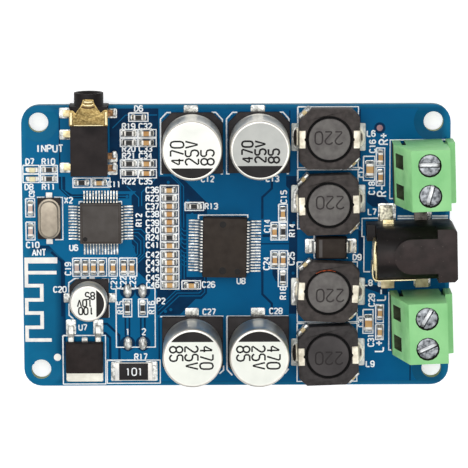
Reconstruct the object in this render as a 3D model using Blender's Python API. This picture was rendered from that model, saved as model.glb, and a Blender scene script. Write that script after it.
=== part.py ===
"""Audio amplifier board: one circuit board with its sockets, screw terminals and soldered parts.

Units are metres. The origin is the centre of the board's underside. +X runs to the edge with the power
socket and the terminals, +Y to the edge with the audio socket, and +Z away from the component side.
"""

import math

import bmesh
import bpy
from mathutils import Matrix, Vector

# Laminate
BOARD_LENGTH = 0.0720
BOARD_WIDTH = 0.0480
BOARD_THICKNESS = 0.0016
BOARD_CORNER_RADIUS = 0.0030
MOUNT_HOLE_RADIUS = 0.00165
MOUNT_HOLE_INSET = 0.0029

# Clearances: a soldered part stands this far off the laminate, and a moving part this far off its guide
SEAT_GAP = 0.00005
GUIDE_GAP = 0.00015
SOLDER_BITE = 0.00004

# Two-way rising-clamp screw terminals: name, row centre, overhang past the edge and turn in degrees
TERMINAL_PITCH = 0.00508
TERMINAL_WAYS = 2
TERMINAL_HEIGHT = 0.01335
TERMINAL_BACK = 0.0054
TERMINAL_BACK_WALL = 0.0046
TERMINAL_TOP_BACK = 0.0030
TERMINAL_TOP_FRONT = 0.0034
TERMINAL_LEDGE_FRONT = 0.00485
TERMINAL_LEDGE_HEIGHT = 0.0052
TERMINALS = (("right_terminal", 0.01297, 0.00050, 1.8), ("left_terminal", -0.01259, 0.00028, 2.0))
SCREW_HEAD_RADIUS = 0.0018
SCREW_HEAD_HEIGHT = 0.0018
SCREW_HEAD_SINK = 0.0004
SCREW_SHANK_RADIUS = 0.0013
SCREW_LEAD = 0.0005
SCREW_SLOT_WIDTH = 0.0007
SCREW_SLOT_DEPTH = 0.0009
SCREW_SLOT_TURNS = (math.radians(0), math.radians(75), math.radians(60), math.radians(25))
NECK_THICKNESS = 0.0010
CAGE_LENGTH = 0.0040
CAGE_WIDTH = 0.0039
CAGE_HEIGHT = 0.0056
CAGE_WALL = 0.0006
CAGE_NUT = 0.0012
CAGE_FLOOR = 0.0008
CAGE_REST = 0.0012
CAGE_TRAVEL = 0.0022
TONGUE_THICKNESS = 0.0006
TONGUE_WIDTH = 0.0024
PIN_LENGTH = 0.0010
PIN_WIDTH = 0.0009
PIN_SETBACK = 0.0031
WIRE_ENTRY_WIDTH = 0.0034
WIRE_ENTRY_HEIGHT = 0.0030
FUNNEL_MARGIN = 0.0004
FUNNEL_DEPTH = 0.0007
WINDOW_WIDTH = 0.0024
WINDOW_LOW = 0.0056
WINDOW_HIGH = 0.0093
KEY_SPACING = 0.0070
KEY_OFFSET = -0.0002
KEY_WIDTH = 0.0008
KEY_DEPTH = 0.0006
KEY_HEIGHT = 0.0060

# Barrel power socket, soldered flat on the board
POWER_OVERHANG = 0.0005
POWER_ROW_OFFSET = 0.0001
POWER_TURN = math.radians(1.5)
POWER_WIDTH = 0.0089
POWER_HEIGHT = 0.0109
POWER_LENGTH = 0.0146
POWER_BARREL_END = 0.0132
LIFT_PAD_RISE = 0.00005
POWER_AXIS_HEIGHT = POWER_HEIGHT - POWER_WIDTH / 2 - LIFT_PAD_RISE
FLANGE_DEPTH = 0.00325
FLANGE_CORNER = 0.0005
LIFT_PAD_WIDTH = 0.0059
LIFT_PAD_END = 0.0105
POWER_BASE_HEIGHT = POWER_AXIS_HEIGHT - 0.0024
POWER_BASE_NOTCH = 0.0017
BORE_RADIUS = 0.00315
BORE_DEPTH = 0.0098
CENTRE_PIN_RADIUS = 0.0010
CENTRE_PIN_RECESS = 0.0009
RIVET_RADIUS = 0.0007
RIVET_HEAD = 0.0011
STRIP_THICKNESS = 0.0003
STRIP_TOP = POWER_AXIS_HEIGHT + 0.0022
STRIP_HIGH_SIDE = 0.0016
STRIP_SIDE_HEIGHT = POWER_AXIS_HEIGHT - 0.0012
POWER_FOOT_WIDTH = 0.0022
POWER_FOOT_REACH = 0.0071
POWER_FOOT_REAR = 0.0111
POWER_FOOT_FRONT = 0.0053
SPRING_WIDTH = 0.0020
SPRING_SLOT_WIDTH = 0.0028
SPRING_CROWN = 0.0088
SPRING_RISE = 0.0004
SWITCH_HEIGHT = 0.0024

# Audio socket for a 3.5 mm plug. A contact: name, side, place of its leaf and place of its foot
AUDIO_ROW_OFFSET = -0.02455
AUDIO_OVERHANG = 0.00035
AUDIO_WIDTH = 0.0061
AUDIO_LENGTH = 0.0117
AUDIO_HEIGHT = 0.0049
NOZZLE_RADIUS = 0.00245
NOZZLE_LENGTH = 0.0021
NOZZLE_AXIS_HEIGHT = NOZZLE_RADIUS
JACK_BORE_RADIUS = 0.0018
JACK_BORE_END_WALL = 0.0007
COLLAR_WIDTH = 0.0065
COLLAR_DEPTH = 0.0005
SHELL_SHEET = 0.0002
SHELL_BACK = 0.0032
SHELL_FRONT = 0.0006
SHELL_TONGUE_ROOT = 0.0036
SHELL_TONGUE_TIP = 0.0018
SHELL_TONGUE_REACH = 0.0012
CONTACT_SHEET = 0.0002
CONTACT_HEIGHT = 0.0036
CONTACT_LENGTH = 0.0016
CONTACT_POCKET = 0.0007
AUDIO_FOOT_WIDTH = 0.0011
AUDIO_FOOT_REACH = 0.0044
SHELL_FOOT_PLACE = 0.0017
CONTACT_PLACES = (("ring_contact", -1, 0.0052, 0.0052), ("tip_contact", -1, 0.0104, 0.0108),
                  ("ring_switch", 1, 0.0086, 0.00895), ("tip_switch", 1, 0.01055, 0.0110))

# Surface-mount electrolytic capacitors: can radius, can height over the board, base side
LARGE_CAN_RADIUS = 0.0050
LARGE_CAN_TOP = 0.0103
LARGE_BASE_SIDE = 0.0103
SMALL_CAN_RADIUS = 0.00315
SMALL_CAN_TOP = 0.0054
SMALL_BASE_SIDE = 0.0066
BASE_THICKNESS = 0.0010
BASE_CHAMFER_SHARE = 0.17
CAN_EDGE_RADIUS = 0.0004
CAN_GROOVE_DEPTH = 0.0003
CAN_GROOVE_HEIGHT = 0.0022
CAN_GROOVE_WIDTH = 0.0009
LEAD_TAB_HEIGHT = 0.0004
CAPACITORS = (
    ("capacitor_1", "large", -0.00737, 0.01762, 90),
    ("capacitor_2", "large", 0.00384, 0.01768, 90),
    ("capacitor_3", "large", -0.00743, -0.01719, 270),
    ("capacitor_4", "large", 0.00372, -0.01719, 270),
    ("capacitor_5", "small", -0.02487, -0.00880, 180),
)

# Shielded power inductors
INDUCTOR_SIDE = 0.0101
INDUCTOR_HEIGHT = 0.0039
INDUCTOR_LONG_CHAMFER = 0.0021
INDUCTOR_SHORT_CHAMFER = 0.0013
SHIELD_BORE_RADIUS = 0.0039
DRUM_RADIUS = 0.00364
DRUM_FLANGE = 0.0008
DRUM_POST_RADIUS = 0.0022
WINDING_RADIUS = 0.00345
WINDING_GAP = 0.00008
CLIP_WIDTH = 0.0031
CLIP_REACH = 0.0012
CLIP_SHEET = 0.00015
CLIP_PAD_REACH = 0.0006
WIRE_END_WIDTH = 0.0007
WIRE_END_LENGTH = 0.0020
INDUCTORS = (
    ("inductor_1", 0.01553, 0.01860, 0.0),
    ("inductor_2", 0.01550, 0.00750, 2.0),
    ("inductor_3", 0.01542, -0.00733, -3.2),
    ("inductor_4", 0.01546, -0.01820, 1.9),
)

# Leaded chips
RECEIVER_SIDE = 0.0070
RECEIVER_HEIGHT = 0.0015
RECEIVER_SPAN = 0.0090
RECEIVER_LEADS = 12
RECEIVER_PLACE = (-0.02280, 0.00408, 0.0)
AMPLIFIER_LENGTH = 0.0103
AMPLIFIER_WIDTH = 0.0075
AMPLIFIER_HEIGHT = 0.0023
AMPLIFIER_SPAN = 0.0103
AMPLIFIER_LEADS = 18
AMPLIFIER_PLACE = (-0.00196, 0.00005, -1.0)
LEAD_PITCH = 0.0005
LEAD_WIDTH = 0.00022
LEAD_SHEET = 0.00015
LEAD_RUN = 0.0005
BODY_DRAFT = 0.00015
PIN_ONE_DIMPLE = 0.0005
DIMPLE_DEPTH = 0.0001

# Regulator, diode, crystal, large resistor, indicator LEDs
REGULATOR_PLACE = (-0.02572, -0.01885)
REGULATOR_WIDTH = 0.0064
REGULATOR_LENGTH = 0.0054
REGULATOR_HEIGHT = 0.0022
REGULATOR_TAB_THICKNESS = 0.0006
REGULATOR_TAB_REACH = 0.0016
REGULATOR_LEAD_SPACING = 0.0046
REGULATOR_LEAD_WIDTH = 0.0009
REGULATOR_LEAD_REACH = 0.0026
DIODE_PLACE = (0.01595, -0.00012)
DIODE_LENGTH = 0.0053
DIODE_WIDTH = 0.0039
DIODE_HEIGHT = 0.0022
DIODE_LEAD_WIDTH = 0.0020
DIODE_LEAD_REACH = 0.0011
DIODE_LEAD_SHEET = 0.0002
CRYSTAL_PLACE = (-0.03145, 0.00487)
CRYSTAL_LENGTH = 0.0070
CRYSTAL_WIDTH = 0.0039
CRYSTAL_BASE_THICKNESS = 0.0005
CRYSTAL_FLANGE_MARGIN = 0.0002
CRYSTAL_FLANGE_THICKNESS = 0.0003
CRYSTAL_LID_LENGTH = 0.0055
CRYSTAL_LID_WIDTH = 0.0028
CRYSTAL_TOP = 0.0017
CRYSTAL_TAB_WIDTH = 0.0012
CRYSTAL_TAB_REACH = 0.0009
RESISTOR_PLACE = (-0.01745, -0.02148)
RESISTOR_LENGTH = 0.0063
RESISTOR_WIDTH = 0.0031
RESISTOR_HEIGHT = 0.0006
RESISTOR_CAP_LENGTH = 0.0007
RESISTOR_CAP_STEP = 0.00006
LED_PLACES = ((-0.03420, 0.01312), (-0.03420, 0.01158))
LED_FOOT = 0.0003
LED_HEIGHT = 0.0007
LED_BASE_HEIGHT = 0.0003

# Small soldered chips: length, width and height
CHIP_SIZES = {
    "capacitor": (0.0016, 0.0008, 0.0008),
    "resistor": (0.0016, 0.0008, 0.00045),
    "large": (0.0020, 0.00125, 0.0010),
}
CHIP_COLUMN_X = -0.01125
CHIP_COLUMNS = ((0.00960, 0.00135, "CRCCCCRC"), (-0.00142, 0.00130, "CCCCC"))
CHIP_ROW_Y = -0.0036
CHIP_ROW = (-0.0269, -0.0255, -0.0241, -0.0227, -0.0208, -0.0190, -0.0176)
INPUT_PAIRS = (0.0192, 0.01765, 0.0141, 0.0125)
INPUT_PAIR_X = (-0.01795, -0.01505)
CHIPS = (
    ("resistor", -0.01635, 0.02190, 0), ("resistor", -0.02595, 0.01090, 0),
    ("capacitor", -0.02300, 0.01090, 0), ("resistor", -0.03140, 0.01312, 0),
    ("resistor", -0.03140, 0.01158, 0), ("capacitor", -0.03460, 0.00660, 90),
    ("capacitor", -0.03460, 0.00270, 90), ("resistor", -0.00710, 0.00680, 0),
    ("capacitor", -0.00760, -0.00670, 0), ("capacitor", 0.00785, 0.00550, 90),
    ("capacitor", 0.00645, 0.00245, 90), ("resistor", 0.00790, 0.00245, 90),
    ("capacitor", 0.00650, -0.00240, 90), ("capacitor", 0.00790, -0.00240, 90),
    ("resistor", 0.00785, -0.00550, 90), ("capacitor", 0.02425, 0.01505, 90),
    ("capacitor", 0.02425, 0.01170, 90), ("capacitor", 0.02430, -0.01155, 90),
    ("capacitor", 0.02430, -0.01485, 90), ("large", 0.02245, 0.01305, 90),
    ("large", 0.02235, -0.01330, 90), ("resistor", -0.01845, -0.01055, 90),
    ("resistor", -0.01585, -0.01055, 90),
)

# Link pads with their solder joints
LINK_X = (-0.0184, -0.01585)
LINK_Y = (-0.0077, -0.0167)
LINK_BLOB = (0.0007, 0.0011, 0.0005)
JOINT_RADIUS = 0.0011
JOINT_TIP_RADIUS = 0.0009
JOINT_HEIGHT = 0.0012
PIN_HOLE_RADIUS = 0.00078

# Worked out from the sizes above
BOARD_TOP = BOARD_THICKNESS
SEAT = BOARD_TOP + SEAT_GAP
TERMINAL_WIDTH = TERMINAL_WAYS * TERMINAL_PITCH
COUNTERBORE_DEPTH = SCREW_HEAD_SINK + SCREW_HEAD_HEIGHT + SEAT_GAP
CHAMBER_TOP = TERMINAL_HEIGHT - COUNTERBORE_DEPTH - NECK_THICKNESS
TONGUE_LOW = CAGE_REST + CAGE_FLOOR + CAGE_TRAVEL + GUIDE_GAP
TONGUE_HIGH = TONGUE_LOW + TONGUE_THICKNESS
SCREW_TIP = TONGUE_HIGH + GUIDE_GAP
POWER_X = BOARD_LENGTH / 2 + POWER_OVERHANG
AUDIO_Y = BOARD_WIDTH / 2 + AUDIO_OVERHANG


def clear_scene():
    """Remove what a new Blender file holds."""
    for thing in list(bpy.data.objects):
        bpy.data.objects.remove(thing, do_unlink=True)


def finish(name, colour, roughness, metallic=0.0):
    """A plain Principled material with the colour seen in the photo."""
    material = bpy.data.materials.new(name)
    material.use_nodes = True
    shader = material.node_tree.nodes["Principled BSDF"]
    shader.inputs["Base Color"].default_value = (*colour, 1.0)
    shader.inputs["Roughness"].default_value = roughness
    shader.inputs["Metallic"].default_value = metallic
    material.diffuse_color = (*colour, 1.0)
    return material


# Shape helpers. Each returns a bmesh that is closed, with its faces pointing out.


def prism(outline, low, high):
    """The outline, a list of (x, y), raised from height low to height high."""
    shape = bmesh.new()
    corners = [shape.verts.new((x, y, low)) for x, y in outline]
    floor = shape.faces.new(corners)
    raised = bmesh.ops.extrude_face_region(shape, geom=[floor])
    top = [item for item in raised["geom"] if isinstance(item, bmesh.types.BMVert)]
    bmesh.ops.translate(shape, verts=top, vec=(0, 0, high - low))
    bmesh.ops.recalc_face_normals(shape, faces=shape.faces)
    return shape


def block(low, high):
    """A box between two corners."""
    (x0, y0, z0), (x1, y1, z1) = low, high
    return prism([(x0, y0), (x1, y0), (x1, y1), (x0, y1)], z0, z1)


def moved(shape, at=(0, 0, 0), turn=0.0, axis="Z"):
    """The shape turned about an axis through the origin, then shifted."""
    matrix = Matrix.Translation(Vector(at)) @ Matrix.Rotation(turn, 4, axis)
    bmesh.ops.transform(shape, matrix=matrix, verts=shape.verts)
    return shape


def side_prism(outline, low, high):
    """The outline, a list of (x, z), extruded along Y from low to high."""
    return moved(prism(outline, -high, -low), turn=math.radians(90), axis="X")


def end_prism(outline, low, high):
    """The outline, a list of (y, z), extruded along X from low to high."""
    shape = prism(outline, low, high)
    cycle = Matrix(((0, 0, 1, 0), (1, 0, 0, 0), (0, 1, 0, 0), (0, 0, 0, 1)))
    bmesh.ops.transform(shape, matrix=cycle, verts=shape.verts)
    return shape


def turned(profile, segments, ring=False):
    """The profile, a list of (radius, height), spun about Z. A ring's profile closes on itself."""
    shape = bmesh.new()
    corners = [shape.verts.new((radius, 0, height)) for radius, height in profile]
    ends = corners + corners[:1] if ring else corners
    edges = [shape.edges.new(pair) for pair in zip(ends, ends[1:])]
    bmesh.ops.spin(shape, geom=corners + edges, cent=(0, 0, 0), axis=(0, 0, 1),
                   angle=math.tau, steps=segments, use_merge=True)
    bmesh.ops.remove_doubles(shape, verts=shape.verts, dist=1e-7)
    rims = [edge for edge in shape.edges if edge.is_boundary]
    if rims:
        bmesh.ops.holes_fill(shape, edges=rims)
    bmesh.ops.recalc_face_normals(shape, faces=shape.faces)
    return shape


def rod(radius, low, high, segments, at=(0, 0)):
    """An upright round bar."""
    return moved(turned([(radius, low), (radius, high)], segments), (at[0], at[1], 0))


def gathered(shapes):
    """Several shapes, apart from each other, as one bmesh."""
    whole = bmesh.new()
    for shape in shapes:
        carrier = bpy.data.meshes.new("carrier")
        shape.to_mesh(carrier)
        shape.free()
        whole.from_mesh(carrier)
        bpy.data.meshes.remove(carrier)
    return whole


def boolean(base, tool, operation):
    """The base joined with the tool, or cut by it, with Blender's exact solver."""
    things = []
    for shape in (base, tool):
        mesh = bpy.data.meshes.new("operand")
        shape.to_mesh(mesh)
        shape.free()
        thing = bpy.data.objects.new("operand", mesh)
        bpy.context.scene.collection.objects.link(thing)
        things.append(thing)
    modifier = things[0].modifiers.new("boolean", "BOOLEAN")
    modifier.operation = operation
    modifier.solver = "EXACT"
    modifier.object = things[1]
    evaluated = things[0].evaluated_get(bpy.context.evaluated_depsgraph_get())
    result = bmesh.new()
    result.from_mesh(evaluated.to_mesh())
    evaluated.to_mesh_clear()
    for thing in things:
        mesh = thing.data
        bpy.data.objects.remove(thing, do_unlink=True)
        bpy.data.meshes.remove(mesh)
    bmesh.ops.remove_doubles(result, verts=result.verts, dist=1e-7)
    bmesh.ops.dissolve_limit(result, angle_limit=math.radians(0.5), verts=result.verts,
                             edges=result.edges)
    return result


def fused(base, *tools):
    """The base with each tool joined to it."""
    for tool in tools:
        base = boolean(base, tool, "UNION")
    return base


def cut(base, *tools):
    """The base with each tool's shape taken out."""
    for tool in tools:
        base = boolean(base, tool, "DIFFERENCE")
    return base


def place(name, shape, material, at=(0, 0, 0), turn=0.0):
    """Make the named object from a shape, at its place on the board."""
    mesh = bpy.data.meshes.new(name)
    shape.to_mesh(mesh)
    shape.free()
    mesh.materials.append(material)
    mesh.shade_smooth()
    mesh.set_sharp_from_angle(angle=math.radians(35))
    part = bpy.data.objects.new(name, mesh)
    part.location = at
    part.rotation_euler = (0, 0, turn)
    bpy.context.scene.collection.objects.link(part)
    return part


# Outlines


def rounded_rectangle(length, width, radius, steps):
    """A rectangle about the origin with round corners."""
    points = []
    for corner, (side_x, side_y) in enumerate(((1, 1), (-1, 1), (-1, -1), (1, -1))):
        centre_x = side_x * (length / 2 - radius)
        centre_y = side_y * (width / 2 - radius)
        for step in range(steps + 1):
            angle = math.radians(90) * (corner + step / steps)
            points.append((centre_x + radius * math.cos(angle), centre_y + radius * math.sin(angle)))
    return points


def chamfered_rectangle(length, width, chamfers):
    """A rectangle with its corners cut: first +X+Y, then -X+Y, -X-Y and +X-Y."""
    points = []
    signs = ((1, 1), (-1, 1), (-1, -1), (1, -1))
    for (side_x, side_y), chamfer in zip(signs, chamfers):
        x, y = side_x * length / 2, side_y * width / 2
        along_x, along_y = (x - side_x * chamfer, y), (x, y - side_y * chamfer)
        if chamfer == 0:
            points.append((x, y))
        else:
            points += [along_y, along_x] if side_x * side_y > 0 else [along_x, along_y]
    return points


# Circuit board with everything that is soldered flat on it


def mount_hole_centres():
    """The four mounting holes, a fixed distance in from the edges."""
    x = BOARD_LENGTH / 2 - MOUNT_HOLE_INSET
    y = BOARD_WIDTH / 2 - MOUNT_HOLE_INSET
    return [(side_x * x, side_y * y) for side_x in (1, -1) for side_y in (1, -1)]


def terminal_places():
    """Name, centre and turn of each terminal block, hung over the board's edge by its overhang."""
    return [(name, BOARD_LENGTH / 2 + overhang - TERMINAL_LEDGE_FRONT, y, math.radians(degrees))
            for name, y, overhang, degrees in TERMINALS]


def way_offsets():
    """Each screw's place along its block."""
    middle = (TERMINAL_WAYS - 1) / 2
    return [(middle - way) * TERMINAL_PITCH for way in range(TERMINAL_WAYS)]


def terminal_pin_centres():
    """Where the contact pins of both blocks pass through the board."""
    spots = []
    for _, x, y, turn in terminal_places():
        for along in way_offsets():
            spot = Matrix.Rotation(turn, 3, "Z") @ Vector((-PIN_SETBACK, along, 0))
            spots.append((x + spot.x, y + spot.y))
    return spots


def chip(kind):
    """A small chip lying along X, its foot bitten into the laminate so that the two are one body."""
    length, width, height = CHIP_SIZES[kind]
    return block((-length / 2, -width / 2, -SOLDER_BITE), (length / 2, width / 2, height))


def chip_places():
    """Every small chip on the board, as kind, x, y and turn."""
    kinds = {"C": "capacitor", "R": "resistor"}
    places = list(CHIPS)
    for first, pitch, letters in CHIP_COLUMNS:
        for step, letter in enumerate(letters):
            places.append((kinds[letter], CHIP_COLUMN_X, first - step * pitch, 0))
    for x in CHIP_ROW:
        places.append(("capacitor", x, CHIP_ROW_Y, 90))
    for y in INPUT_PAIRS:
        places.append(("resistor", INPUT_PAIR_X[0], y, 0))
        places.append(("capacitor", INPUT_PAIR_X[1], y, 0))
    return places


def lead_tab_shapes():
    """The soldered lead tabs that stand out from under each electrolytic capacitor."""
    tabs = []
    for _, size, x, y, turn in CAPACITORS:
        side, reach, width = (LARGE_BASE_SIDE, 0.0010, 0.0022) if size == "large" else \
            (SMALL_BASE_SIDE, 0.0008, 0.0010)
        inner = side / 2 + SEAT_GAP
        for end in (1, -1):
            tab = block((inner, -width / 2, -SOLDER_BITE), (inner + reach, width / 2, LEAD_TAB_HEIGHT))
            spin = math.radians(turn) if end == 1 else math.radians(turn + 180)
            tabs.append(moved(tab, (x, y, BOARD_TOP), spin))
    return tabs


def solder_joint():
    """A joint on the underside: a cone that narrows downwards."""
    return turned([(JOINT_RADIUS, SOLDER_BITE), (JOINT_TIP_RADIUS, -JOINT_HEIGHT)], 8)


def link_blob():
    """One rounded solder blob of the link pads."""
    half_x, half_y, height = LINK_BLOB
    shape = turned([(1.0, -0.1), (0.85, 0.6), (0.0, 1.0)], 8)
    bmesh.ops.scale(shape, vec=(half_x, half_y, height), verts=shape.verts)
    return shape


def circuit_board(material):
    """The laminate, drilled, with its small chips and solder joints."""
    outline = rounded_rectangle(BOARD_LENGTH, BOARD_WIDTH, BOARD_CORNER_RADIUS, 4)
    laminate = prism(outline, 0, BOARD_THICKNESS)
    small_parts = [moved(chip(kind), (x, y, BOARD_TOP), math.radians(turn))
                   for kind, x, y, turn in chip_places()]
    small_parts += lead_tab_shapes()
    for x in LINK_X:
        for y in LINK_Y:
            small_parts.append(moved(link_blob(), (x, y, BOARD_TOP)))
            small_parts.append(moved(solder_joint(), (x, y, 0)))
    small_parts += [moved(solder_joint(), (x, y, 0)) for x, y in terminal_pin_centres()]
    below, above = -2 * JOINT_HEIGHT, 2 * BOARD_THICKNESS
    drills = [rod(MOUNT_HOLE_RADIUS, below, above, 16, spot) for spot in mount_hole_centres()]
    drills += [rod(PIN_HOLE_RADIUS, below, above, 8, spot) for spot in terminal_pin_centres()]
    whole = cut(fused(laminate, gathered(small_parts)), gathered(drills))
    place("circuit_board", whole, material)


# Screw terminals. Local axes: the origin is the board surface under the row of screws, +X to the wires.


def terminal_profile():
    """The housing seen from its end: a ledge over the wires, a flat top and a slanted back."""
    return [(-TERMINAL_BACK, 0), (TERMINAL_LEDGE_FRONT, 0),
            (TERMINAL_LEDGE_FRONT, TERMINAL_LEDGE_HEIGHT),
            (TERMINAL_TOP_FRONT, TERMINAL_LEDGE_HEIGHT + 0.0006),
            (TERMINAL_TOP_FRONT, TERMINAL_HEIGHT), (-TERMINAL_TOP_BACK, TERMINAL_HEIGHT),
            (-TERMINAL_BACK, TERMINAL_BACK_WALL)]


def dovetail(depth, low, width):
    """A key or a keyway on the end of a block, wider at its outer end."""
    half = width / 2
    outline = [(-half * 0.7, low), (half * 0.7, low), (half, low + depth), (-half, low + depth)]
    return outline


def terminal_housing():
    """The moulded housing: for each way a screw well, a clamp chamber, a wire entry and a window."""
    half = TERMINAL_WIDTH / 2
    body = side_prism(terminal_profile(), -half, half)
    chamber_x = CAGE_LENGTH / 2 + 2 * GUIDE_GAP
    chamber_y = CAGE_WIDTH / 2 + GUIDE_GAP
    below = -0.001
    entry_middle = CAGE_REST + CAGE_FLOOR / 2 + WIRE_ENTRY_HEIGHT / 2
    cutters = []
    for along in way_offsets():
        hollow = block((-chamber_x, -chamber_y, below), (chamber_x, chamber_y, CHAMBER_TOP))
        strip_room = block((-PIN_SETBACK - PIN_LENGTH / 2 - 2 * GUIDE_GAP, -TONGUE_WIDTH / 2 - GUIDE_GAP, below),
                           (0, TONGUE_WIDTH / 2 + GUIDE_GAP, TONGUE_HIGH + 2 * GUIDE_GAP))
        entry = end_prism(rounded_rectangle(WIRE_ENTRY_WIDTH, WIRE_ENTRY_HEIGHT, 0.0009, 2),
                          0, TERMINAL_LEDGE_FRONT + 0.001)
        funnel = end_prism(rounded_rectangle(WIRE_ENTRY_WIDTH + 2 * FUNNEL_MARGIN,
                                             WIRE_ENTRY_HEIGHT + FUNNEL_MARGIN, 0.0010, 2),
                           TERMINAL_LEDGE_FRONT - FUNNEL_DEPTH, TERMINAL_LEDGE_FRONT + 0.001)
        well = rod(SCREW_HEAD_RADIUS + GUIDE_GAP, TERMINAL_HEIGHT - COUNTERBORE_DEPTH,
                   TERMINAL_HEIGHT + 0.001, 16)
        neck = rod(SCREW_SHANK_RADIUS + 2 * GUIDE_GAP, 0, TERMINAL_HEIGHT, 10)
        window = block((-TERMINAL_BACK - 0.001, -WINDOW_WIDTH / 2, WINDOW_LOW),
                       (0, WINDOW_WIDTH / 2, WINDOW_HIGH))
        tool = fused(hollow, strip_room, moved(entry, (0, 0, entry_middle)), window, neck, well)
        cutters.append(moved(tool, (0, along, 0)))
        cutters.append(moved(funnel, (0, along, entry_middle)))
    housing = cut(body, *cutters)
    keys = []
    for side in (-1, 1):
        x = KEY_OFFSET + side * KEY_SPACING / 2
        keyway = prism(dovetail(KEY_DEPTH * 2, half - KEY_DEPTH, KEY_WIDTH), below, KEY_HEIGHT)
        housing = cut(housing, moved(keyway, (x, 0, 0)))
        key = prism(dovetail(KEY_DEPTH * 2, -KEY_DEPTH, KEY_WIDTH * 0.8), 0, KEY_HEIGHT)
        keys.append(moved(key, (x, -half, 0), math.radians(180)))
    return fused(housing, *keys)


def terminal_screw():
    """A slotted screw: cheese head and plain shank, axis on Z."""
    head_top = TERMINAL_HEIGHT - SCREW_HEAD_SINK
    head_low = head_top - SCREW_HEAD_HEIGHT
    profile = [(SCREW_SHANK_RADIUS, SCREW_TIP), (SCREW_SHANK_RADIUS, head_low),
               (SCREW_HEAD_RADIUS, head_low), (SCREW_HEAD_RADIUS, head_top)]
    reach = 2 * SCREW_HEAD_RADIUS
    slot = block((-reach, -SCREW_SLOT_WIDTH / 2, head_top - SCREW_SLOT_DEPTH),
                 (reach, SCREW_SLOT_WIDTH / 2, head_top + SCREW_HEAD_SINK))
    return cut(turned(profile, 16), slot)


def clamp_cage():
    """The clamp that the screw draws up: a square loop with a nut at its top."""
    half_y, half_x = CAGE_WIDTH / 2, CAGE_LENGTH / 2
    outer = block((-half_x, -half_y, CAGE_REST), (half_x, half_y, CAGE_REST + CAGE_HEIGHT))
    inner = block((-half_x - 0.001, -half_y + CAGE_WALL, CAGE_REST + CAGE_FLOOR),
                  (half_x + 0.001, half_y - CAGE_WALL, CAGE_REST + CAGE_HEIGHT - CAGE_NUT))
    thread = rod(SCREW_SHANK_RADIUS + GUIDE_GAP, CAGE_REST + CAGE_FLOOR * 1.5, TERMINAL_HEIGHT, 10)
    return cut(outer, inner, thread)


def contact_strip():
    """The fixed contact: a tongue through the cage and a solder pin behind it."""
    rear = -PIN_SETBACK - PIN_LENGTH / 2
    tongue = block((rear, -TONGUE_WIDTH / 2, TONGUE_LOW),
                   (CAGE_LENGTH / 2, TONGUE_WIDTH / 2, TONGUE_HIGH))
    pin = block((rear, -PIN_WIDTH / 2, -SEAT - JOINT_HEIGHT),
                (rear + PIN_LENGTH, PIN_WIDTH / 2, TONGUE_LOW + TONGUE_THICKNESS / 2))
    return fused(tongue, pin)


def terminals(green, steel, tin):
    """Both terminal blocks. Each screw and its cage have their origin on the screw's axis."""
    slot_turns = iter(SCREW_SLOT_TURNS)
    for name, x, y, turn in terminal_places():
        place(f"{name}_housing", terminal_housing(), green, (x, y, SEAT), turn)
        for number, along in enumerate(way_offsets(), start=1):
            shift = Matrix.Rotation(turn, 3, "Z") @ Vector((0, along, 0))
            at = (x + shift.x, y + shift.y, SEAT)
            place(f"{name}_screw_{number}", terminal_screw(), steel, at, next(slot_turns))
            place(f"{name}_cage_{number}", clamp_cage(), steel, at, turn)
            place(f"{name}_contact_{number}", contact_strip(), tin, at, turn)


# Power socket. Local axes: the origin is the board surface under the mouth, -X into the board.


def power_housing():
    """The black housing: square flange, round barrel with a flat lifting pad, and a low base."""
    half = POWER_WIDTH / 2
    axis = POWER_AXIS_HEIGHT
    flange = prism([(-FLANGE_DEPTH, -half), (-FLANGE_CORNER, -half), (0, FLANGE_CORNER - half),
                    (0, half - FLANGE_CORNER), (-FLANGE_CORNER, half), (-FLANGE_DEPTH, half)],
                   0, POWER_HEIGHT)
    barrel_radius = POWER_HEIGHT - axis - LIFT_PAD_RISE
    arch = [(-barrel_radius, 0), (barrel_radius, 0)]
    arch += [(barrel_radius * math.cos(step * math.pi / 14), axis + barrel_radius * math.sin(step * math.pi / 14))
             for step in range(15)]
    barrel = end_prism(arch, -POWER_BARREL_END, -FLANGE_DEPTH / 2)
    pad_radius = LIFT_PAD_WIDTH / 2
    pad = [(-FLANGE_DEPTH / 2, -pad_radius), (-FLANGE_DEPTH / 2, pad_radius)]
    pad += [(pad_radius - LIFT_PAD_END - pad_radius * math.sin(step * math.pi / 10),
             pad_radius * math.cos(step * math.pi / 10)) for step in range(11)]
    lifting_pad = prism(pad, axis, POWER_HEIGHT)
    rear_block = block((-POWER_LENGTH, POWER_BASE_NOTCH, 0),
                       (-POWER_BARREL_END / 2, half, POWER_BASE_HEIGHT))
    body = fused(flange, barrel, lifting_pad, rear_block)
    bore = moved(turned([(BORE_RADIUS, -BORE_DEPTH), (BORE_RADIUS, -0.0003), (BORE_RADIUS + 0.0003, 0),
                         (BORE_RADIUS + 0.0003, 0.001)], 20), (0, 0, axis), math.radians(90), "Y")
    pin_hole = moved(rod(CENTRE_PIN_RADIUS + SEAT_GAP, -POWER_LENGTH - 0.001, -BORE_DEPTH / 2, 12),
                     (0, 0, axis), math.radians(90), "Y")
    slot = block((-POWER_FOOT_REAR - POWER_FOOT_WIDTH / 2 - 2 * SEAT_GAP, -SPRING_SLOT_WIDTH / 2, -0.001),
                 (-FLANGE_DEPTH, SPRING_SLOT_WIDTH / 2, axis - BORE_RADIUS * 0.6))
    feet = [block((-at - POWER_FOOT_WIDTH / 2 - 2 * SEAT_GAP, low, -0.001),
                  (-at + POWER_FOOT_WIDTH / 2 + 2 * SEAT_GAP, half + 0.001, STRIP_THICKNESS + 4 * SEAT_GAP))
            for at, low in ((POWER_FOOT_REAR, 0), (POWER_FOOT_FRONT, -half - 0.001))]
    return cut(body, bore, pin_hole, slot, *feet)


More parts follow.
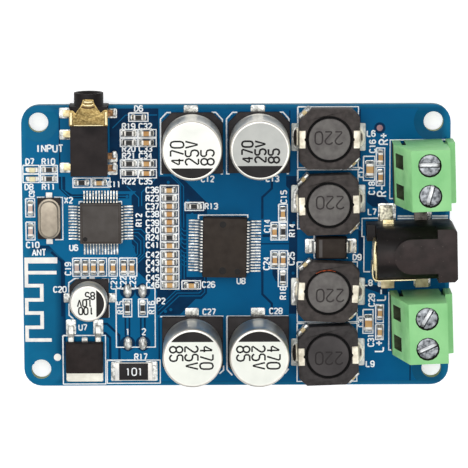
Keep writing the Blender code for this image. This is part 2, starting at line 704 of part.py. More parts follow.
def centre_pin():
    """The turned pin: rounded tip in the bore, rivet tail through the rear strip."""
    tip, shoulder = -CENTRE_PIN_RECESS, -POWER_BARREL_END
    tail = shoulder - SEAT_GAP - STRIP_THICKNESS - SEAT_GAP
    profile = [(0.0004, tip), (CENTRE_PIN_RADIUS, tip - 0.0006), (CENTRE_PIN_RADIUS, shoulder),
               (RIVET_RADIUS, shoulder), (RIVET_RADIUS, tail), (RIVET_HEAD, tail),
               (RIVET_HEAD * 0.7, tail - 0.00035)]
    return moved(turned(profile, 10), (0, 0, POWER_AXIS_HEIGHT), math.radians(90), "Y")


def rear_strip():
    """The strip that carries the pin: a round-topped plate that wraps round to two soldered feet."""
    half = POWER_WIDTH / 2
    front = -POWER_BARREL_END - SEAT_GAP
    outer = -half - SEAT_GAP - STRIP_THICKNESS
    radius = (STRIP_HIGH_SIDE - outer) / 2
    middle, spring_line = (STRIP_HIGH_SIDE + outer) / 2, STRIP_TOP - radius * 0.55
    plate = [(outer, 0), (STRIP_HIGH_SIDE, 0)]
    plate += [(middle + radius * math.cos(step * math.pi / 6),
               spring_line + radius * 0.55 * math.sin(step * math.pi / 6)) for step in range(7)]
    rear = end_prism(plate, front - STRIP_THICKNESS, front)
    foot_front = -POWER_FOOT_REAR + POWER_FOOT_WIDTH / 2
    side = block((front - STRIP_THICKNESS, outer, 0), (foot_front, outer + STRIP_THICKNESS, STRIP_SIDE_HEIGHT))
    foot = block((foot_front - POWER_FOOT_WIDTH, -POWER_FOOT_REACH, 0),
                 (foot_front, outer + STRIP_THICKNESS / 2, STRIP_THICKNESS))
    hole = moved(rod(RIVET_RADIUS + SEAT_GAP, -POWER_LENGTH, 0, 12), (0, 0, POWER_AXIS_HEIGHT),
                 math.radians(90), "Y")
    return cut(fused(rear, side, foot), hole)


def sleeve_spring():
    """The strip under the bore: a foot on each side of the socket and a spring that slopes up."""
    half_foot, sheet = POWER_FOOT_WIDTH / 2, STRIP_THICKNESS
    feet = block((-POWER_FOOT_FRONT - half_foot, -POWER_FOOT_REACH, 0),
                 (-POWER_FOOT_FRONT + half_foot, POWER_FOOT_REACH, sheet))
    root, crown = -POWER_FOOT_FRONT - half_foot + sheet, SPRING_CROWN
    top = POWER_AXIS_HEIGHT - BORE_RADIUS + SPRING_RISE
    outline = [(root, 0), (root, sheet), (-crown, top), (-crown - sheet, top), (-crown - sheet, top - sheet),
               (root - 2 * sheet, 0)]
    return fused(feet, side_prism(outline, -SPRING_WIDTH / 2, SPRING_WIDTH / 2))


def switch_contact():
    """The rear contact that the spring leaves when a plug pushes it down."""
    half_foot, sheet = POWER_FOOT_WIDTH / 2, STRIP_THICKNESS
    foot = block((-POWER_FOOT_REAR - half_foot, -SPRING_WIDTH / 2, 0),
                 (-POWER_FOOT_REAR + half_foot, POWER_FOOT_REACH, sheet))
    upright = block((-POWER_FOOT_REAR + half_foot - sheet, -SPRING_WIDTH / 2, 0),
                    (-POWER_FOOT_REAR + half_foot, SPRING_WIDTH / 2, SWITCH_HEIGHT))
    return fused(foot, upright)


def power_socket(black, brass, tin):
    """The power socket and its four metal pieces."""
    at, turn = (POWER_X, POWER_ROW_OFFSET, SEAT), POWER_TURN
    place("power_socket_housing", power_housing(), black, at, turn)
    place("power_socket_centre_pin", centre_pin(), tin, at, turn)
    place("power_socket_rear_strip", rear_strip(), brass, at, turn)
    place("power_socket_sleeve_spring", sleeve_spring(), brass, at, turn)
    place("power_socket_switch_contact", switch_contact(), brass, at, turn)


# Audio socket. Local axes: the origin is the board surface under the body's front face, -Y into the board.


def audio_housing():
    """The black housing: round nozzle, collar wings, long body, bore and a pocket for each contact."""
    half = AUDIO_WIDTH / 2
    body = block((-half, -AUDIO_LENGTH, 0), (half, 0, AUDIO_HEIGHT))
    wing = COLLAR_WIDTH / 2
    collar = block((-wing, -COLLAR_DEPTH, 0), (wing, 0, AUDIO_HEIGHT * 0.7))
    nozzle = moved(rod(NOZZLE_RADIUS, -NOZZLE_LENGTH, COLLAR_DEPTH, 24), (0, 0, NOZZLE_AXIS_HEIGHT),
                   math.radians(90), "X")
    bore = moved(turned([(JACK_BORE_RADIUS + 0.0003, -NOZZLE_LENGTH - 0.001),
                         (JACK_BORE_RADIUS + 0.0003, -NOZZLE_LENGTH),
                         (JACK_BORE_RADIUS, -NOZZLE_LENGTH + 0.0003),
                         (JACK_BORE_RADIUS, AUDIO_LENGTH - JACK_BORE_END_WALL)], 16),
                 (0, 0, NOZZLE_AXIS_HEIGHT), math.radians(90), "X")
    seat_depth = SHELL_SHEET + SEAT_GAP
    seat_front, seat_back = -SHELL_FRONT + SEAT_GAP, -SHELL_BACK - SEAT_GAP
    seat = [block((-half - 0.001, seat_back, -0.001), (-half + seat_depth, seat_front, AUDIO_HEIGHT + 0.001)),
            block((half - seat_depth, seat_back, -0.001), (half + 0.001, seat_front, AUDIO_HEIGHT + 0.001))]
    pockets = []
    for _, side, back, foot_back in CONTACT_PLACES:
        inner, outer = side * JACK_BORE_RADIUS * 0.6, side * (half - CONTACT_POCKET * 0.6)
        low_x, high_x = sorted((inner, outer))
        pocket = block((low_x, -back - CONTACT_LENGTH / 2, -0.001),
                       (high_x, -back + CONTACT_LENGTH / 2, CONTACT_HEIGHT + 2 * SEAT_GAP))
        low_x, high_x = sorted((inner, side * (half + 0.001)))
        gap = AUDIO_FOOT_WIDTH / 2 + 2 * SEAT_GAP
        gate = block((low_x, -foot_back - gap, -0.001), (high_x, -foot_back + gap, CONTACT_SHEET + 3 * SEAT_GAP))
        pockets.append(fused(pocket, gate))
    return cut(fused(body, collar, nozzle), *seat, bore, *pockets)


def audio_shell():
    """The folded brass shell: a roof, two cheeks with feet, and a tongue over the nozzle."""
    half = AUDIO_WIDTH / 2
    roof_low = AUDIO_HEIGHT + SEAT_GAP
    roof_high = roof_low + SHELL_SHEET
    root, tip, reach = SHELL_TONGUE_ROOT / 2, SHELL_TONGUE_TIP / 2, SHELL_TONGUE_REACH
    roof = prism([(-half, -SHELL_BACK), (half, -SHELL_BACK), (half, -SHELL_FRONT),
                  (root + 0.0007, -SHELL_FRONT), (root + 0.0003, -SHELL_FRONT - 0.0005),
                  (root, -SHELL_FRONT), (tip, reach * 0.2), (tip, reach), (-tip, reach),
                  (-tip, reach * 0.2), (-root, -SHELL_FRONT), (-root - 0.0003, -SHELL_FRONT - 0.0005),
                  (-root - 0.0007, -SHELL_FRONT), (-half, -SHELL_FRONT)], roof_low, roof_high)
    pieces = []
    for side in (-1, 1):
        low_x, high_x = sorted((side * half, side * (half - SHELL_SHEET)))
        cheek = block((low_x, -SHELL_BACK, 0), (high_x, -SHELL_FRONT, roof_high))
        low_x, high_x = sorted((side * (half - SHELL_SHEET / 2), side * AUDIO_FOOT_REACH))
        foot = block((low_x, -SHELL_FOOT_PLACE - AUDIO_FOOT_WIDTH / 2, 0),
                     (high_x, -SHELL_FOOT_PLACE + AUDIO_FOOT_WIDTH / 2, SHELL_SHEET))
        pieces += [cheek, foot]
    return fused(roof, *pieces)


def audio_contact(side, back, foot_back):
    """A leaf spring that bows into the bore, with a foot out to its solder pad."""
    sheet, half_length = CONTACT_SHEET, CONTACT_LENGTH / 2 - 2 * SEAT_GAP
    root_x = AUDIO_WIDTH / 2 - CONTACT_POCKET * 0.6 - sheet - 2 * SEAT_GAP
    crown_x = JACK_BORE_RADIUS - 0.0003
    outline = [(root_x, -half_length), (root_x + sheet, -half_length), (crown_x + sheet, 0),
               (root_x + sheet, half_length), (root_x, half_length), (crown_x, 0)]
    leaf = prism([(side * x, y - back) for x, y in outline], 0, CONTACT_HEIGHT)
    low_x, high_x = sorted((side * (crown_x + sheet / 2), side * AUDIO_FOOT_REACH))
    foot = block((low_x, -foot_back - AUDIO_FOOT_WIDTH / 2, 0),
                 (high_x, -foot_back + AUDIO_FOOT_WIDTH / 2, sheet))
    return fused(leaf, foot)


def audio_socket(black, brass, tin):
    """The audio socket with its shell and four contacts."""
    at = (AUDIO_ROW_OFFSET, AUDIO_Y, SEAT)
    place("audio_socket_housing", audio_housing(), black, at)
    place("audio_socket_shell", audio_shell(), brass, at)
    for name, side, back, foot_back in CONTACT_PLACES:
        place(f"audio_socket_{name}", audio_contact(side, back, foot_back), tin, at)


# Electrolytic capacitors


def can(radius, top, base_top):
    """The aluminium can: straight wall, a rolled groove near the foot and a rounded top edge."""
    groove = base_top + CAN_GROOVE_HEIGHT * top / LARGE_CAN_TOP
    width, depth = CAN_GROOVE_WIDTH / 2, CAN_GROOVE_DEPTH
    profile = [(radius, base_top + SEAT_GAP), (radius, groove - width), (radius - depth, groove),
               (radius, groove + width), (radius, top - CAN_EDGE_RADIUS), (radius - CAN_EDGE_RADIUS, top)]
    return turned(profile, 20)


def can_base(side):
    """The moulded base plate: its two cut corners mark the positive end."""
    chamfer = side * BASE_CHAMFER_SHARE
    return prism(chamfered_rectangle(side, side, (chamfer, 0, 0, chamfer)), 0, BASE_THICKNESS)


def capacitors(aluminium, black):
    """All five capacitors. The turn gives the direction of the positive lead."""
    sizes = {"large": (LARGE_CAN_RADIUS, LARGE_CAN_TOP, LARGE_BASE_SIDE),
             "small": (SMALL_CAN_RADIUS, SMALL_CAN_TOP, SMALL_BASE_SIDE)}
    for name, size, x, y, turn in CAPACITORS:
        radius, top, side = sizes[size]
        place(f"{name}_can", can(radius, top, BASE_THICKNESS), aluminium, (x, y, SEAT))
        place(f"{name}_base", can_base(side), black, (x, y, SEAT), math.radians(turn))


# Power inductors


def inductor_shield():
    """The eight-sided ferrite ring with its folded end clips and the tinned wire ends."""
    half = INDUCTOR_SIDE / 2
    long_cut, short_cut = INDUCTOR_LONG_CHAMFER, INDUCTOR_SHORT_CHAMFER
    outline = chamfered_rectangle(INDUCTOR_SIDE, INDUCTOR_SIDE, (short_cut, long_cut, short_cut, long_cut))
    ring = cut(prism(outline, 0, INDUCTOR_HEIGHT), rod(SHIELD_BORE_RADIUS, -0.001, 0.01, 20))
    clips = []
    inside, outside, top = half - CLIP_REACH, half + CLIP_SHEET, INDUCTOR_HEIGHT + CLIP_SHEET
    hook = [(half - CLIP_SHEET, 0), (half + CLIP_PAD_REACH, 0), (half + CLIP_PAD_REACH, CLIP_SHEET),
            (outside, CLIP_SHEET), (outside, top), (inside, top), (inside, INDUCTOR_HEIGHT - CLIP_SHEET),
            (half - CLIP_SHEET, INDUCTOR_HEIGHT - CLIP_SHEET)]
    for side in (0, 180):
        clips.append(moved(side_prism(hook, -CLIP_WIDTH / 2, CLIP_WIDTH / 2), turn=math.radians(side)))
    wires = []
    reach = (INDUCTOR_SIDE - long_cut) / math.sqrt(2)
    for side in (135, -45):
        wire = block((reach - 0.0002, -WIRE_END_LENGTH / 2, INDUCTOR_HEIGHT * 0.2),
                     (reach + WIRE_END_WIDTH, WIRE_END_LENGTH / 2, INDUCTOR_HEIGHT * 0.6))
        wires.append(moved(wire, turn=math.radians(side)))
    return fused(ring, gathered(clips), gathered(wires))


def inductor_drum():
    """The ferrite drum: a post between two flanges."""
    top = INDUCTOR_HEIGHT
    return turned([(DRUM_RADIUS, 0), (DRUM_RADIUS, DRUM_FLANGE), (DRUM_POST_RADIUS, DRUM_FLANGE),
                   (DRUM_POST_RADIUS, top - DRUM_FLANGE), (DRUM_RADIUS, top - DRUM_FLANGE),
                   (DRUM_RADIUS, top)], 16)


def inductor_winding():
    """The copper winding between the flanges."""
    low, high = DRUM_FLANGE + WINDING_GAP, INDUCTOR_HEIGHT - DRUM_FLANGE - WINDING_GAP
    sides = 10
    inner = (DRUM_POST_RADIUS + WINDING_GAP) / math.cos(math.pi / sides)
    return turned([(inner, low), (WINDING_RADIUS, low), (WINDING_RADIUS, high), (inner, high)],
                  sides, ring=True)


def inductors(ferrite, copper):
    """All four inductors, each a few degrees off square as they were soldered."""
    for name, x, y, degrees in INDUCTORS:
        at, turn = (x, y, SEAT), math.radians(degrees)
        place(f"{name}_shield", inductor_shield(), ferrite, at, turn)
        place(f"{name}_drum", inductor_drum(), ferrite, at, turn)
        place(f"{name}_winding", inductor_winding(), copper, at, turn)


# Chips in packages


def package_body(length, width, height):
    """A moulded body whose sides lean in above and below the middle."""
    low, middle = SEAT_GAP, height / 2
    shape = prism([(-length / 2, -width / 2), (length / 2, -width / 2),
                   (length / 2, width / 2), (-length / 2, width / 2)], low, height)
    bmesh.ops.bisect_plane(shape, geom=shape.verts[:] + shape.edges[:] + shape.faces[:],
                           plane_co=(0, 0, middle), plane_no=(0, 0, 1))
    for corner in shape.verts:
        if abs(corner.co.z - middle) > 1e-6:
            corner.co.x -= math.copysign(BODY_DRAFT, corner.co.x)
            corner.co.y -= math.copysign(BODY_DRAFT, corner.co.y)
    return shape


def lead(body_edge, span_edge, shoulder):
    """One lead along +X: out of the body and down, then flat on its pad."""
    sheet, root = LEAD_SHEET, body_edge - BODY_DRAFT
    heel = body_edge + LEAD_RUN
    outline = [(root, shoulder), (heel - sheet * 0.6, 0), (span_edge, 0), (span_edge, sheet),
               (heel, sheet), (root, shoulder + sheet)]
    return side_prism(outline, -LEAD_WIDTH / 2, LEAD_WIDTH / 2)


def lead_row(count, body_edge, span_edge, shoulder, turn):
    """A row of leads, a fixed pitch apart, on the side that the turn gives."""
    first = -(count - 1) / 2 * LEAD_PITCH
    row = [moved(lead(body_edge, span_edge, shoulder), (0, first + step * LEAD_PITCH, 0))
           for step in range(count)]
    return [moved(shape, turn=turn) for shape in row]


def receiver_chip():
    """The square chip with twelve leads on each side."""
    body = package_body(RECEIVER_SIDE, RECEIVER_SIDE, RECEIVER_HEIGHT)
    shoulder = RECEIVER_HEIGHT / 2 - LEAD_SHEET / 2
    leads = []
    for quarter in range(4):
        leads += lead_row(RECEIVER_LEADS, RECEIVER_SIDE / 2, RECEIVER_SPAN / 2, shoulder,
                          math.radians(90 * quarter))
    dimple_place = RECEIVER_SIDE / 2 - 0.0011
    dimple = rod(PIN_ONE_DIMPLE, RECEIVER_HEIGHT - DIMPLE_DEPTH, RECEIVER_HEIGHT + 0.001, 8,
                 (-dimple_place, -dimple_place))
    return fused(cut(body, dimple), gathered(leads))


def amplifier_chip():
    """The power package with eighteen leads on each long side and ejector dimples on top."""
    body = package_body(AMPLIFIER_WIDTH, AMPLIFIER_LENGTH, AMPLIFIER_HEIGHT)
    shoulder = AMPLIFIER_HEIGHT / 2 - LEAD_SHEET / 2
    leads = []
    for side in (0, 180):
        leads += lead_row(AMPLIFIER_LEADS, AMPLIFIER_WIDTH / 2, AMPLIFIER_SPAN / 2, shoulder,
                          math.radians(side))
    spots = ((0.0001, 0.0040), (0.0001, -0.0041), (0.0024, -0.0042))
    dimples = [rod(PIN_ONE_DIMPLE, AMPLIFIER_HEIGHT - DIMPLE_DEPTH, AMPLIFIER_HEIGHT + 0.001, 8, spot)
               for spot in spots]
    return fused(cut(body, gathered(dimples)), gathered(leads))


def regulator(black, tin):
    """The regulator: a moulded body with two leads, seated on a metal tab that shows at one end."""
    tab_top = REGULATOR_TAB_THICKNESS
    half_width, half_length = REGULATOR_WIDTH / 2, REGULATOR_LENGTH / 2
    body = moved(package_body(REGULATOR_WIDTH, REGULATOR_LENGTH, REGULATOR_HEIGHT - tab_top), (0, 0, tab_top))
    leads = []
    for side in (-1, 1):
        x = side * REGULATOR_LEAD_SPACING / 2
        profile = [(half_length - 0.0003, tab_top + 0.0003), (half_length + 0.0006, tab_top + 0.0003),
                   (half_length + 0.0011, 0), (half_length + REGULATOR_LEAD_REACH, 0),
                   (half_length + REGULATOR_LEAD_REACH, 0.0005), (half_length + 0.0013, 0.0005),
                   (half_length + 0.0008, tab_top + 0.0008), (half_length - 0.0003, tab_top + 0.0008)]
        shape = side_prism(profile, -REGULATOR_LEAD_WIDTH / 2, REGULATOR_LEAD_WIDTH / 2)
        leads.append(moved(moved(shape, turn=math.radians(90)), (x, 0, 0)))
    place("regulator_body", fused(body, gathered(leads)), black, (*REGULATOR_PLACE, SEAT))
    tab_half = half_width - 0.0001
    tab = prism([(-tab_half, -half_length - REGULATOR_TAB_REACH + 0.0003),
                 (-tab_half + 0.0003, -half_length - REGULATOR_TAB_REACH),
                 (tab_half - 0.0003, -half_length - REGULATOR_TAB_REACH),
                 (tab_half, -half_length - REGULATOR_TAB_REACH + 0.0003),
                 (tab_half, half_length - 0.0008), (-tab_half, half_length - 0.0008)], 0, tab_top)
    stub = block((-REGULATOR_LEAD_WIDTH / 2, 0, 0),
                 (REGULATOR_LEAD_WIDTH / 2, half_length + 0.0006, tab_top - SEAT_GAP))
    place("regulator_tab", fused(tab, stub), tin, (*REGULATOR_PLACE, SEAT))


def diode(black):
    """The rectifier diode: a moulded body with a folded lead at each end."""
    body = package_body(DIODE_LENGTH, DIODE_WIDTH, DIODE_HEIGHT)
    edge, sheet, middle = DIODE_LENGTH / 2, DIODE_LEAD_SHEET, DIODE_HEIGHT / 2
    outline = [(edge - 0.0003, middle), (edge + 0.0002, middle), (edge + 0.0002, sheet), (edge - 0.0008, sheet),
               (edge - 0.0008, 0), (edge + DIODE_LEAD_REACH, 0), (edge + DIODE_LEAD_REACH, sheet),
               (edge + 0.0004, sheet), (edge + 0.0004, middle + sheet), (edge - 0.0003, middle + sheet)]
    leads = [moved(side_prism(outline, -DIODE_LEAD_WIDTH / 2, DIODE_LEAD_WIDTH / 2), turn=math.radians(side))
             for side in (0, 180)]
    place("rectifier_diode", fused(body, *leads), black, (*DIODE_PLACE, SEAT))


def stadium(length, width, steps):
    """A strip along Y with half-round ends."""
    return rounded_rectangle(width, length, width / 2 - 1e-6, steps)


def crystal(black, silver):
    """The crystal: an insulating base with two tabs, and a lidded metal can on it."""
    base = block((-CRYSTAL_WIDTH / 2, -CRYSTAL_LENGTH / 2, 0),
                 (CRYSTAL_WIDTH / 2, CRYSTAL_LENGTH / 2, CRYSTAL_BASE_THICKNESS))
    tab_end = CRYSTAL_LENGTH / 2 + CRYSTAL_TAB_REACH
    tabs = block((-CRYSTAL_TAB_WIDTH / 2, -tab_end, 0), (CRYSTAL_TAB_WIDTH / 2, tab_end, 0.0003))
    place("crystal_base", fused(base, tabs), black, (*CRYSTAL_PLACE, SEAT))
    low = CRYSTAL_BASE_THICKNESS + SEAT_GAP
    flange_top = low + CRYSTAL_FLANGE_THICKNESS
    flange = prism(rounded_rectangle(CRYSTAL_WIDTH - CRYSTAL_FLANGE_MARGIN,
                                     CRYSTAL_LENGTH - CRYSTAL_FLANGE_MARGIN, 0.0013, 2), low, flange_top)
    lid = prism(stadium(CRYSTAL_LID_LENGTH, CRYSTAL_LID_WIDTH, 4), (low + flange_top) / 2, CRYSTAL_TOP)
    place("crystal_can", fused(flange, lid), silver, (*CRYSTAL_PLACE, SEAT))


def large_resistor(black):
    """The large chip resistor with its wrapped end caps."""
    half, inner = RESISTOR_LENGTH / 2, RESISTOR_LENGTH / 2 - RESISTOR_CAP_LENGTH
    high, low = RESISTOR_HEIGHT, RESISTOR_HEIGHT - RESISTOR_CAP_STEP
    outline = [(-half, 0), (half, 0), (half, high), (inner, high), (inner, low), (-inner, low),
               (-inner, high), (-half, high)]
    shape = side_prism(outline, -RESISTOR_WIDTH / 2, RESISTOR_WIDTH / 2)
    place("current_resistor", shape, black, (*RESISTOR_PLACE, SEAT))


def indicator_leds(lens):
    """Two small LEDs: a flat base with a narrower lens block on it."""
    length, width, _ = CHIP_SIZES["resistor"]
    inner = length / 2 - LED_FOOT
    outline = [(-length / 2, 0), (length / 2, 0), (length / 2, LED_BASE_HEIGHT), (inner, LED_BASE_HEIGHT),
               (inner - 0.0001, LED_HEIGHT), (0.0001 - inner, LED_HEIGHT), (-inner, LED_BASE_HEIGHT),
               (-length / 2, LED_BASE_HEIGHT)]
    for number, (x, y) in enumerate(LED_PLACES, start=1):
        shape = side_prism(outline, -width / 2, width / 2)
        place(f"indicator_led_{number}", shape, lens, (x, y, SEAT))


def build():
    """Make every piece of the board."""
    clear_scene()
    blue = finish("solder_mask_blue", (0.005, 0.10, 0.30), 0.35)
    green = finish("terminal_green", (0.31, 0.69, 0.30), 0.45)
    black = finish("moulded_black", (0.045, 0.035, 0.035), 0.5)
    ferrite = finish("ferrite_grey", (0.13, 0.12, 0.12), 0.7)
    copper = finish("enamelled_copper", (0.55, 0.16, 0.06), 0.4, 1.0)
    steel = finish("zinc_plated_steel", (0.60, 0.60, 0.62), 0.3, 1.0)
    tin = finish("tinned_metal", (0.75, 0.73, 0.68), 0.3, 1.0)
    brass = finish("plated_brass", (0.72, 0.58, 0.30), 0.35, 1.0)
    aluminium = finish("can_aluminium", (0.80, 0.80, 0.79), 0.3, 1.0)
    silver = finish("crystal_silver", (0.55, 0.50, 0.44), 0.3, 1.0)
    lens = finish("led_lens", (0.85, 0.80, 0.62), 0.3)
    circuit_board(blue)
    terminals(green, steel, tin)
    power_socket(black, brass, tin)
    audio_socket(black, brass, tin)
    capacitors(aluminium, black)
    inductors(ferrite, copper)
    place("receiver_chip", receiver_chip(), black, (*RECEIVER_PLACE[:2], SEAT), math.radians(RECEIVER_PLACE[2]))
    place("amplifier_chip", amplifier_chip(), black, (*AMPLIFIER_PLACE[:2], SEAT),
          math.radians(AMPLIFIER_PLACE[2]))
    regulator(black, tin)
    diode(black)
    crystal(black, silver)
    large_resistor(black)
    indicator_leds(lens)


build()
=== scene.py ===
# %% [markdown]
# # Finishing a small audio amplifier board
#
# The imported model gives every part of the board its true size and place. This script is the bench where
# the board gets its looks: solder mask over copper, white legend ink, bright solder, moulded plastic,
# ferrite and drawn aluminium. All sizes are written in millimetres, because that is how a board is drawn,
# and a finished piece is scaled to metres when it joins the scene.

import math

import bmesh
import bpy
from mathutils import Matrix, Vector


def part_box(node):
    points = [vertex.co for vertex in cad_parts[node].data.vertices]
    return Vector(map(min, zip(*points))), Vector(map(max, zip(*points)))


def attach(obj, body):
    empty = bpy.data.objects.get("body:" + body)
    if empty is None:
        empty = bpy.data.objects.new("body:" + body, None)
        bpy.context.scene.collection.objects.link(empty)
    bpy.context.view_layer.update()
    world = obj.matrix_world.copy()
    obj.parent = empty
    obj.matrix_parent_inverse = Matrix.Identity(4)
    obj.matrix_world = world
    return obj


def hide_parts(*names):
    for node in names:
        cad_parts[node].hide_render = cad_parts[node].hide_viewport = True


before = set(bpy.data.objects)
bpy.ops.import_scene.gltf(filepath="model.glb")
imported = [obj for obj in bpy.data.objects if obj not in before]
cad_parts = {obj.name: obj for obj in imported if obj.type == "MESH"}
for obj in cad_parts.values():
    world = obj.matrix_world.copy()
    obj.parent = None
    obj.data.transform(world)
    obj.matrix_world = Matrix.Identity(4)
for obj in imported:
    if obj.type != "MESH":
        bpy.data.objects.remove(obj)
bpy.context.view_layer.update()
MM = 0.001

# %% [markdown]
# ## Reading places from the frame
#
# Nothing here is fitted by eye where the frame already knows it.

# %% Places of the parts


def corners(node):
    """The lowest and highest corner of a frame node, in millimetres."""
    low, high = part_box(node)
    return Vector(low) / MM, Vector(high) / MM


def middle(node):
    """The centre of a node's box, in millimetres."""
    low, high = corners(node)
    return (low + high) / 2


def half_sizes(node):
    """Half the length and half the width of a node's box, in millimetres."""
    low, high = corners(node)
    return (high.x - low.x) / 2, (high.y - low.y) / 2


BOARD_TOP = 1.6
SEAT = 1.65
HALF_LENGTH, HALF_WIDTH = half_sizes("circuit_board")
print(f"board {2 * HALF_LENGTH:.1f} x {2 * HALF_WIDTH:.1f} mm, parts stand at {SEAT} mm")

# %% [markdown]
# ## Bench tools for shapes
#
# Every new piece is a bmesh. It starts from a few points or a created shape, and operators such as
# extrude, spin and bevel finish it. So `softened` bevels whatever is sharper than a limit.

# %% Shapes from outlines


def plate(outline, low, high):
    """A flat outline of (x, y) corners raised from one height to another."""
    shape = bmesh.new()
    floor = shape.faces.new([shape.verts.new((x, y, low)) for x, y in outline])
    raised = bmesh.ops.extrude_face_region(shape, geom=[floor])["geom"]
    top = [item for item in raised if isinstance(item, bmesh.types.BMVert)]
    bmesh.ops.translate(shape, verts=top, vec=(0, 0, high - low))
    bmesh.ops.recalc_face_normals(shape, faces=shape.faces)
    return shape


def block(low, high):
    """A box between two corners."""
    (x0, y0, z0), (x1, y1, z1) = low, high
    return plate([(x0, y0), (x1, y0), (x1, y1), (x0, y1)], z0, z1)


def softened(shape, radius, segments=2, sharper_than=30):
    """The shape with its sharp edges rounded."""
    limit = math.radians(sharper_than)
    edges = [edge for edge in shape.edges if edge.is_manifold and edge.calc_face_angle() > limit]
    bmesh.ops.bevel(shape, geom=edges, offset=radius, affect="EDGES", segments=segments, profile=0.5,
                    material=-1, clamp_overlap=True)
    return shape


def moved(shape, x=0.0, y=0.0, z=0.0, turn=0.0, axis="Z"):
    """The shape turned in degrees about an axis through the origin, then shifted."""
    matrix = Matrix.Translation((x, y, z)) @ Matrix.Rotation(math.radians(turn), 4, axis)
    bmesh.ops.transform(shape, matrix=matrix, verts=shape.verts)
    return shape


def spun(profile, steps=48):
    """A profile of (radius, height) points turned about Z, closed where it meets the axis."""
    shape = bmesh.new()
    points = [shape.verts.new((radius, 0, height)) for radius, height in profile]
    line = [shape.edges.new(pair) for pair in zip(points, points[1:])]
    bmesh.ops.spin(shape, geom=points + line, cent=(0, 0, 0), axis=(0, 0, 1), angle=math.tau,
                   steps=steps, use_merge=True)
    bmesh.ops.remove_doubles(shape, verts=shape.verts, dist=1e-5)
    rims = [edge for edge in shape.edges if edge.is_boundary]
    bmesh.ops.holes_fill(shape, edges=rims)
    bmesh.ops.recalc_face_normals(shape, faces=shape.faces)
    return shape


def inked(shape, slot):
    """All faces of the shape given one material slot number."""
    for face in shape.faces:
        face.material_index = slot
    return shape


def gathered(shapes):
    """Several shapes as one, each keeping its material slots."""
    whole = bmesh.new()
    for shape in shapes:
        carrier = bpy.data.meshes.new("carrier")
        shape.to_mesh(carrier)
        shape.free()
        whole.from_mesh(carrier)
        bpy.data.meshes.remove(carrier)
    return whole


def placed(shapes, node):
    """Shapes drawn about the origin, as one shape over the middle of a frame node."""
    centre = middle(node)
    return moved(gathered(shapes), centre.x, centre.y)


print("shape tools ready")

# %% [markdown]
# A finished shape becomes an object here. It is scaled from millimetres to metres, gets its finishes in
# slot order, and rides on a body of the frame. Smooth shading with sharp edges kept is what a real bevel
# needs.

# %% From shape to piece
SHARP_FROM_DEGREES = 40
pieces = {}


def piece(name, shape, finishes, body="board", replaces=()):
    """A bmesh in millimetres made a named object in metres that rides on a body."""
    bmesh.ops.scale(shape, vec=(MM, MM, MM), verts=shape.verts)
    mesh = bpy.data.meshes.new(name)
    shape.to_mesh(mesh)
    shape.free()
    for finish in finishes:
        mesh.materials.append(finish.material)
    mesh.shade_smooth()
    mesh.set_sharp_from_angle(angle=math.radians(SHARP_FROM_DEGREES))
    thing = bpy.data.objects.new(name, mesh)
    bpy.context.scene.collection.objects.link(thing)
    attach(thing, body)
    if replaces:
        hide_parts(*replaces)
    pieces[name] = thing
    print(f"{name}: {len(mesh.polygons)} faces")
    return thing


def frame_copy(node):
    """A frame node's shape in millimetres, its loose triangles merged into whole faces."""
    shape = bmesh.new()
    shape.from_mesh(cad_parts[node].data)
    bmesh.ops.remove_doubles(shape, verts=shape.verts, dist=1e-7)
    bmesh.ops.dissolve_limit(shape, angle_limit=math.radians(1), verts=shape.verts, edges=shape.edges)
    bmesh.ops.scale(shape, vec=(1 / MM, 1 / MM, 1 / MM), verts=shape.verts)
    return shape


# %% [markdown]
# ## Bench tools for finishes
#
# A finish is a node tree. Writing it as sums keeps it readable: `Tap` wraps a socket, so `1 - speckle *
# 0.3` adds the Math nodes by itself. Colours go through Mix nodes, because Math would turn them grey. All
# patterns read Object coordinates in metres, so a scale of 1000 makes features of about one millimetre.

# %% Sockets as numbers


class Tap:
    """A node's output that can be used in sums."""

    def __init__(self, wiring, socket):
        self.wiring = wiring
        self.socket = socket

    def maths(self, operation, *others):
        return self.wiring.node("ShaderNodeMath", {"operation": operation}, values=(self, *others))

    def __add__(self, other):
        return self.maths("ADD", other)

    def __mul__(self, other):
        return self.maths("MULTIPLY", other)

    def __sub__(self, other):
        return self.maths("SUBTRACT", other)

    def __rsub__(self, other):
        return self.maths("MULTIPLY", -1.0).maths("ADD", other)

    def size(self):
        return self.maths("ABSOLUTE")

    def within(self, low, high):
        """0 below low, 1 above high, straight between."""
        return self.wiring.node("ShaderNodeMapRange", {"clamp": True}, out="Result", Value=self,
                                From_Min=low, From_Max=high)


def paint(red, green, blue):
    """A colour given as it looks on screen, 0 to 255, made linear for the shader."""
    def straight(level):
        share = level / 255
        return share / 12.92 if share <= 0.04045 else ((share + 0.055) / 1.055) ** 2.4
    return (straight(red), straight(green), straight(blue), 1.0)


print("mid grey in linear light:", round(paint(128, 128, 128)[0], 3))

# %% [markdown]
# `Finish` builds one material around a Principled shader. Its `node` method makes any node from its type,
# its settings and its socket values. The few methods under it are the patterns used over and over: cloudy
# noise, fine grain, spots, colour mixing and bumps.

# %% The finish builder


class Wiring:
    """A node tree that nodes are added to by type, settings and values."""

    def __init__(self, tree):
        self.tree = tree

    def wire(self, socket, value):
        if isinstance(value, Tap):
            self.tree.links.new(value.socket, socket)
        else:
            socket.default_value = value

    def node(self, kind, settings=None, out=0, values=(), **sockets):
        node = self.tree.nodes.new(kind)
        for key, value in (settings or {}).items():
            setattr(node, key, value)
        for socket, value in zip(node.inputs, values):
            self.wire(socket, value)
        for key, value in sockets.items():
            self.wire(node.inputs[key.replace("_", " ")], value)
        return Tap(self, node.outputs[out])


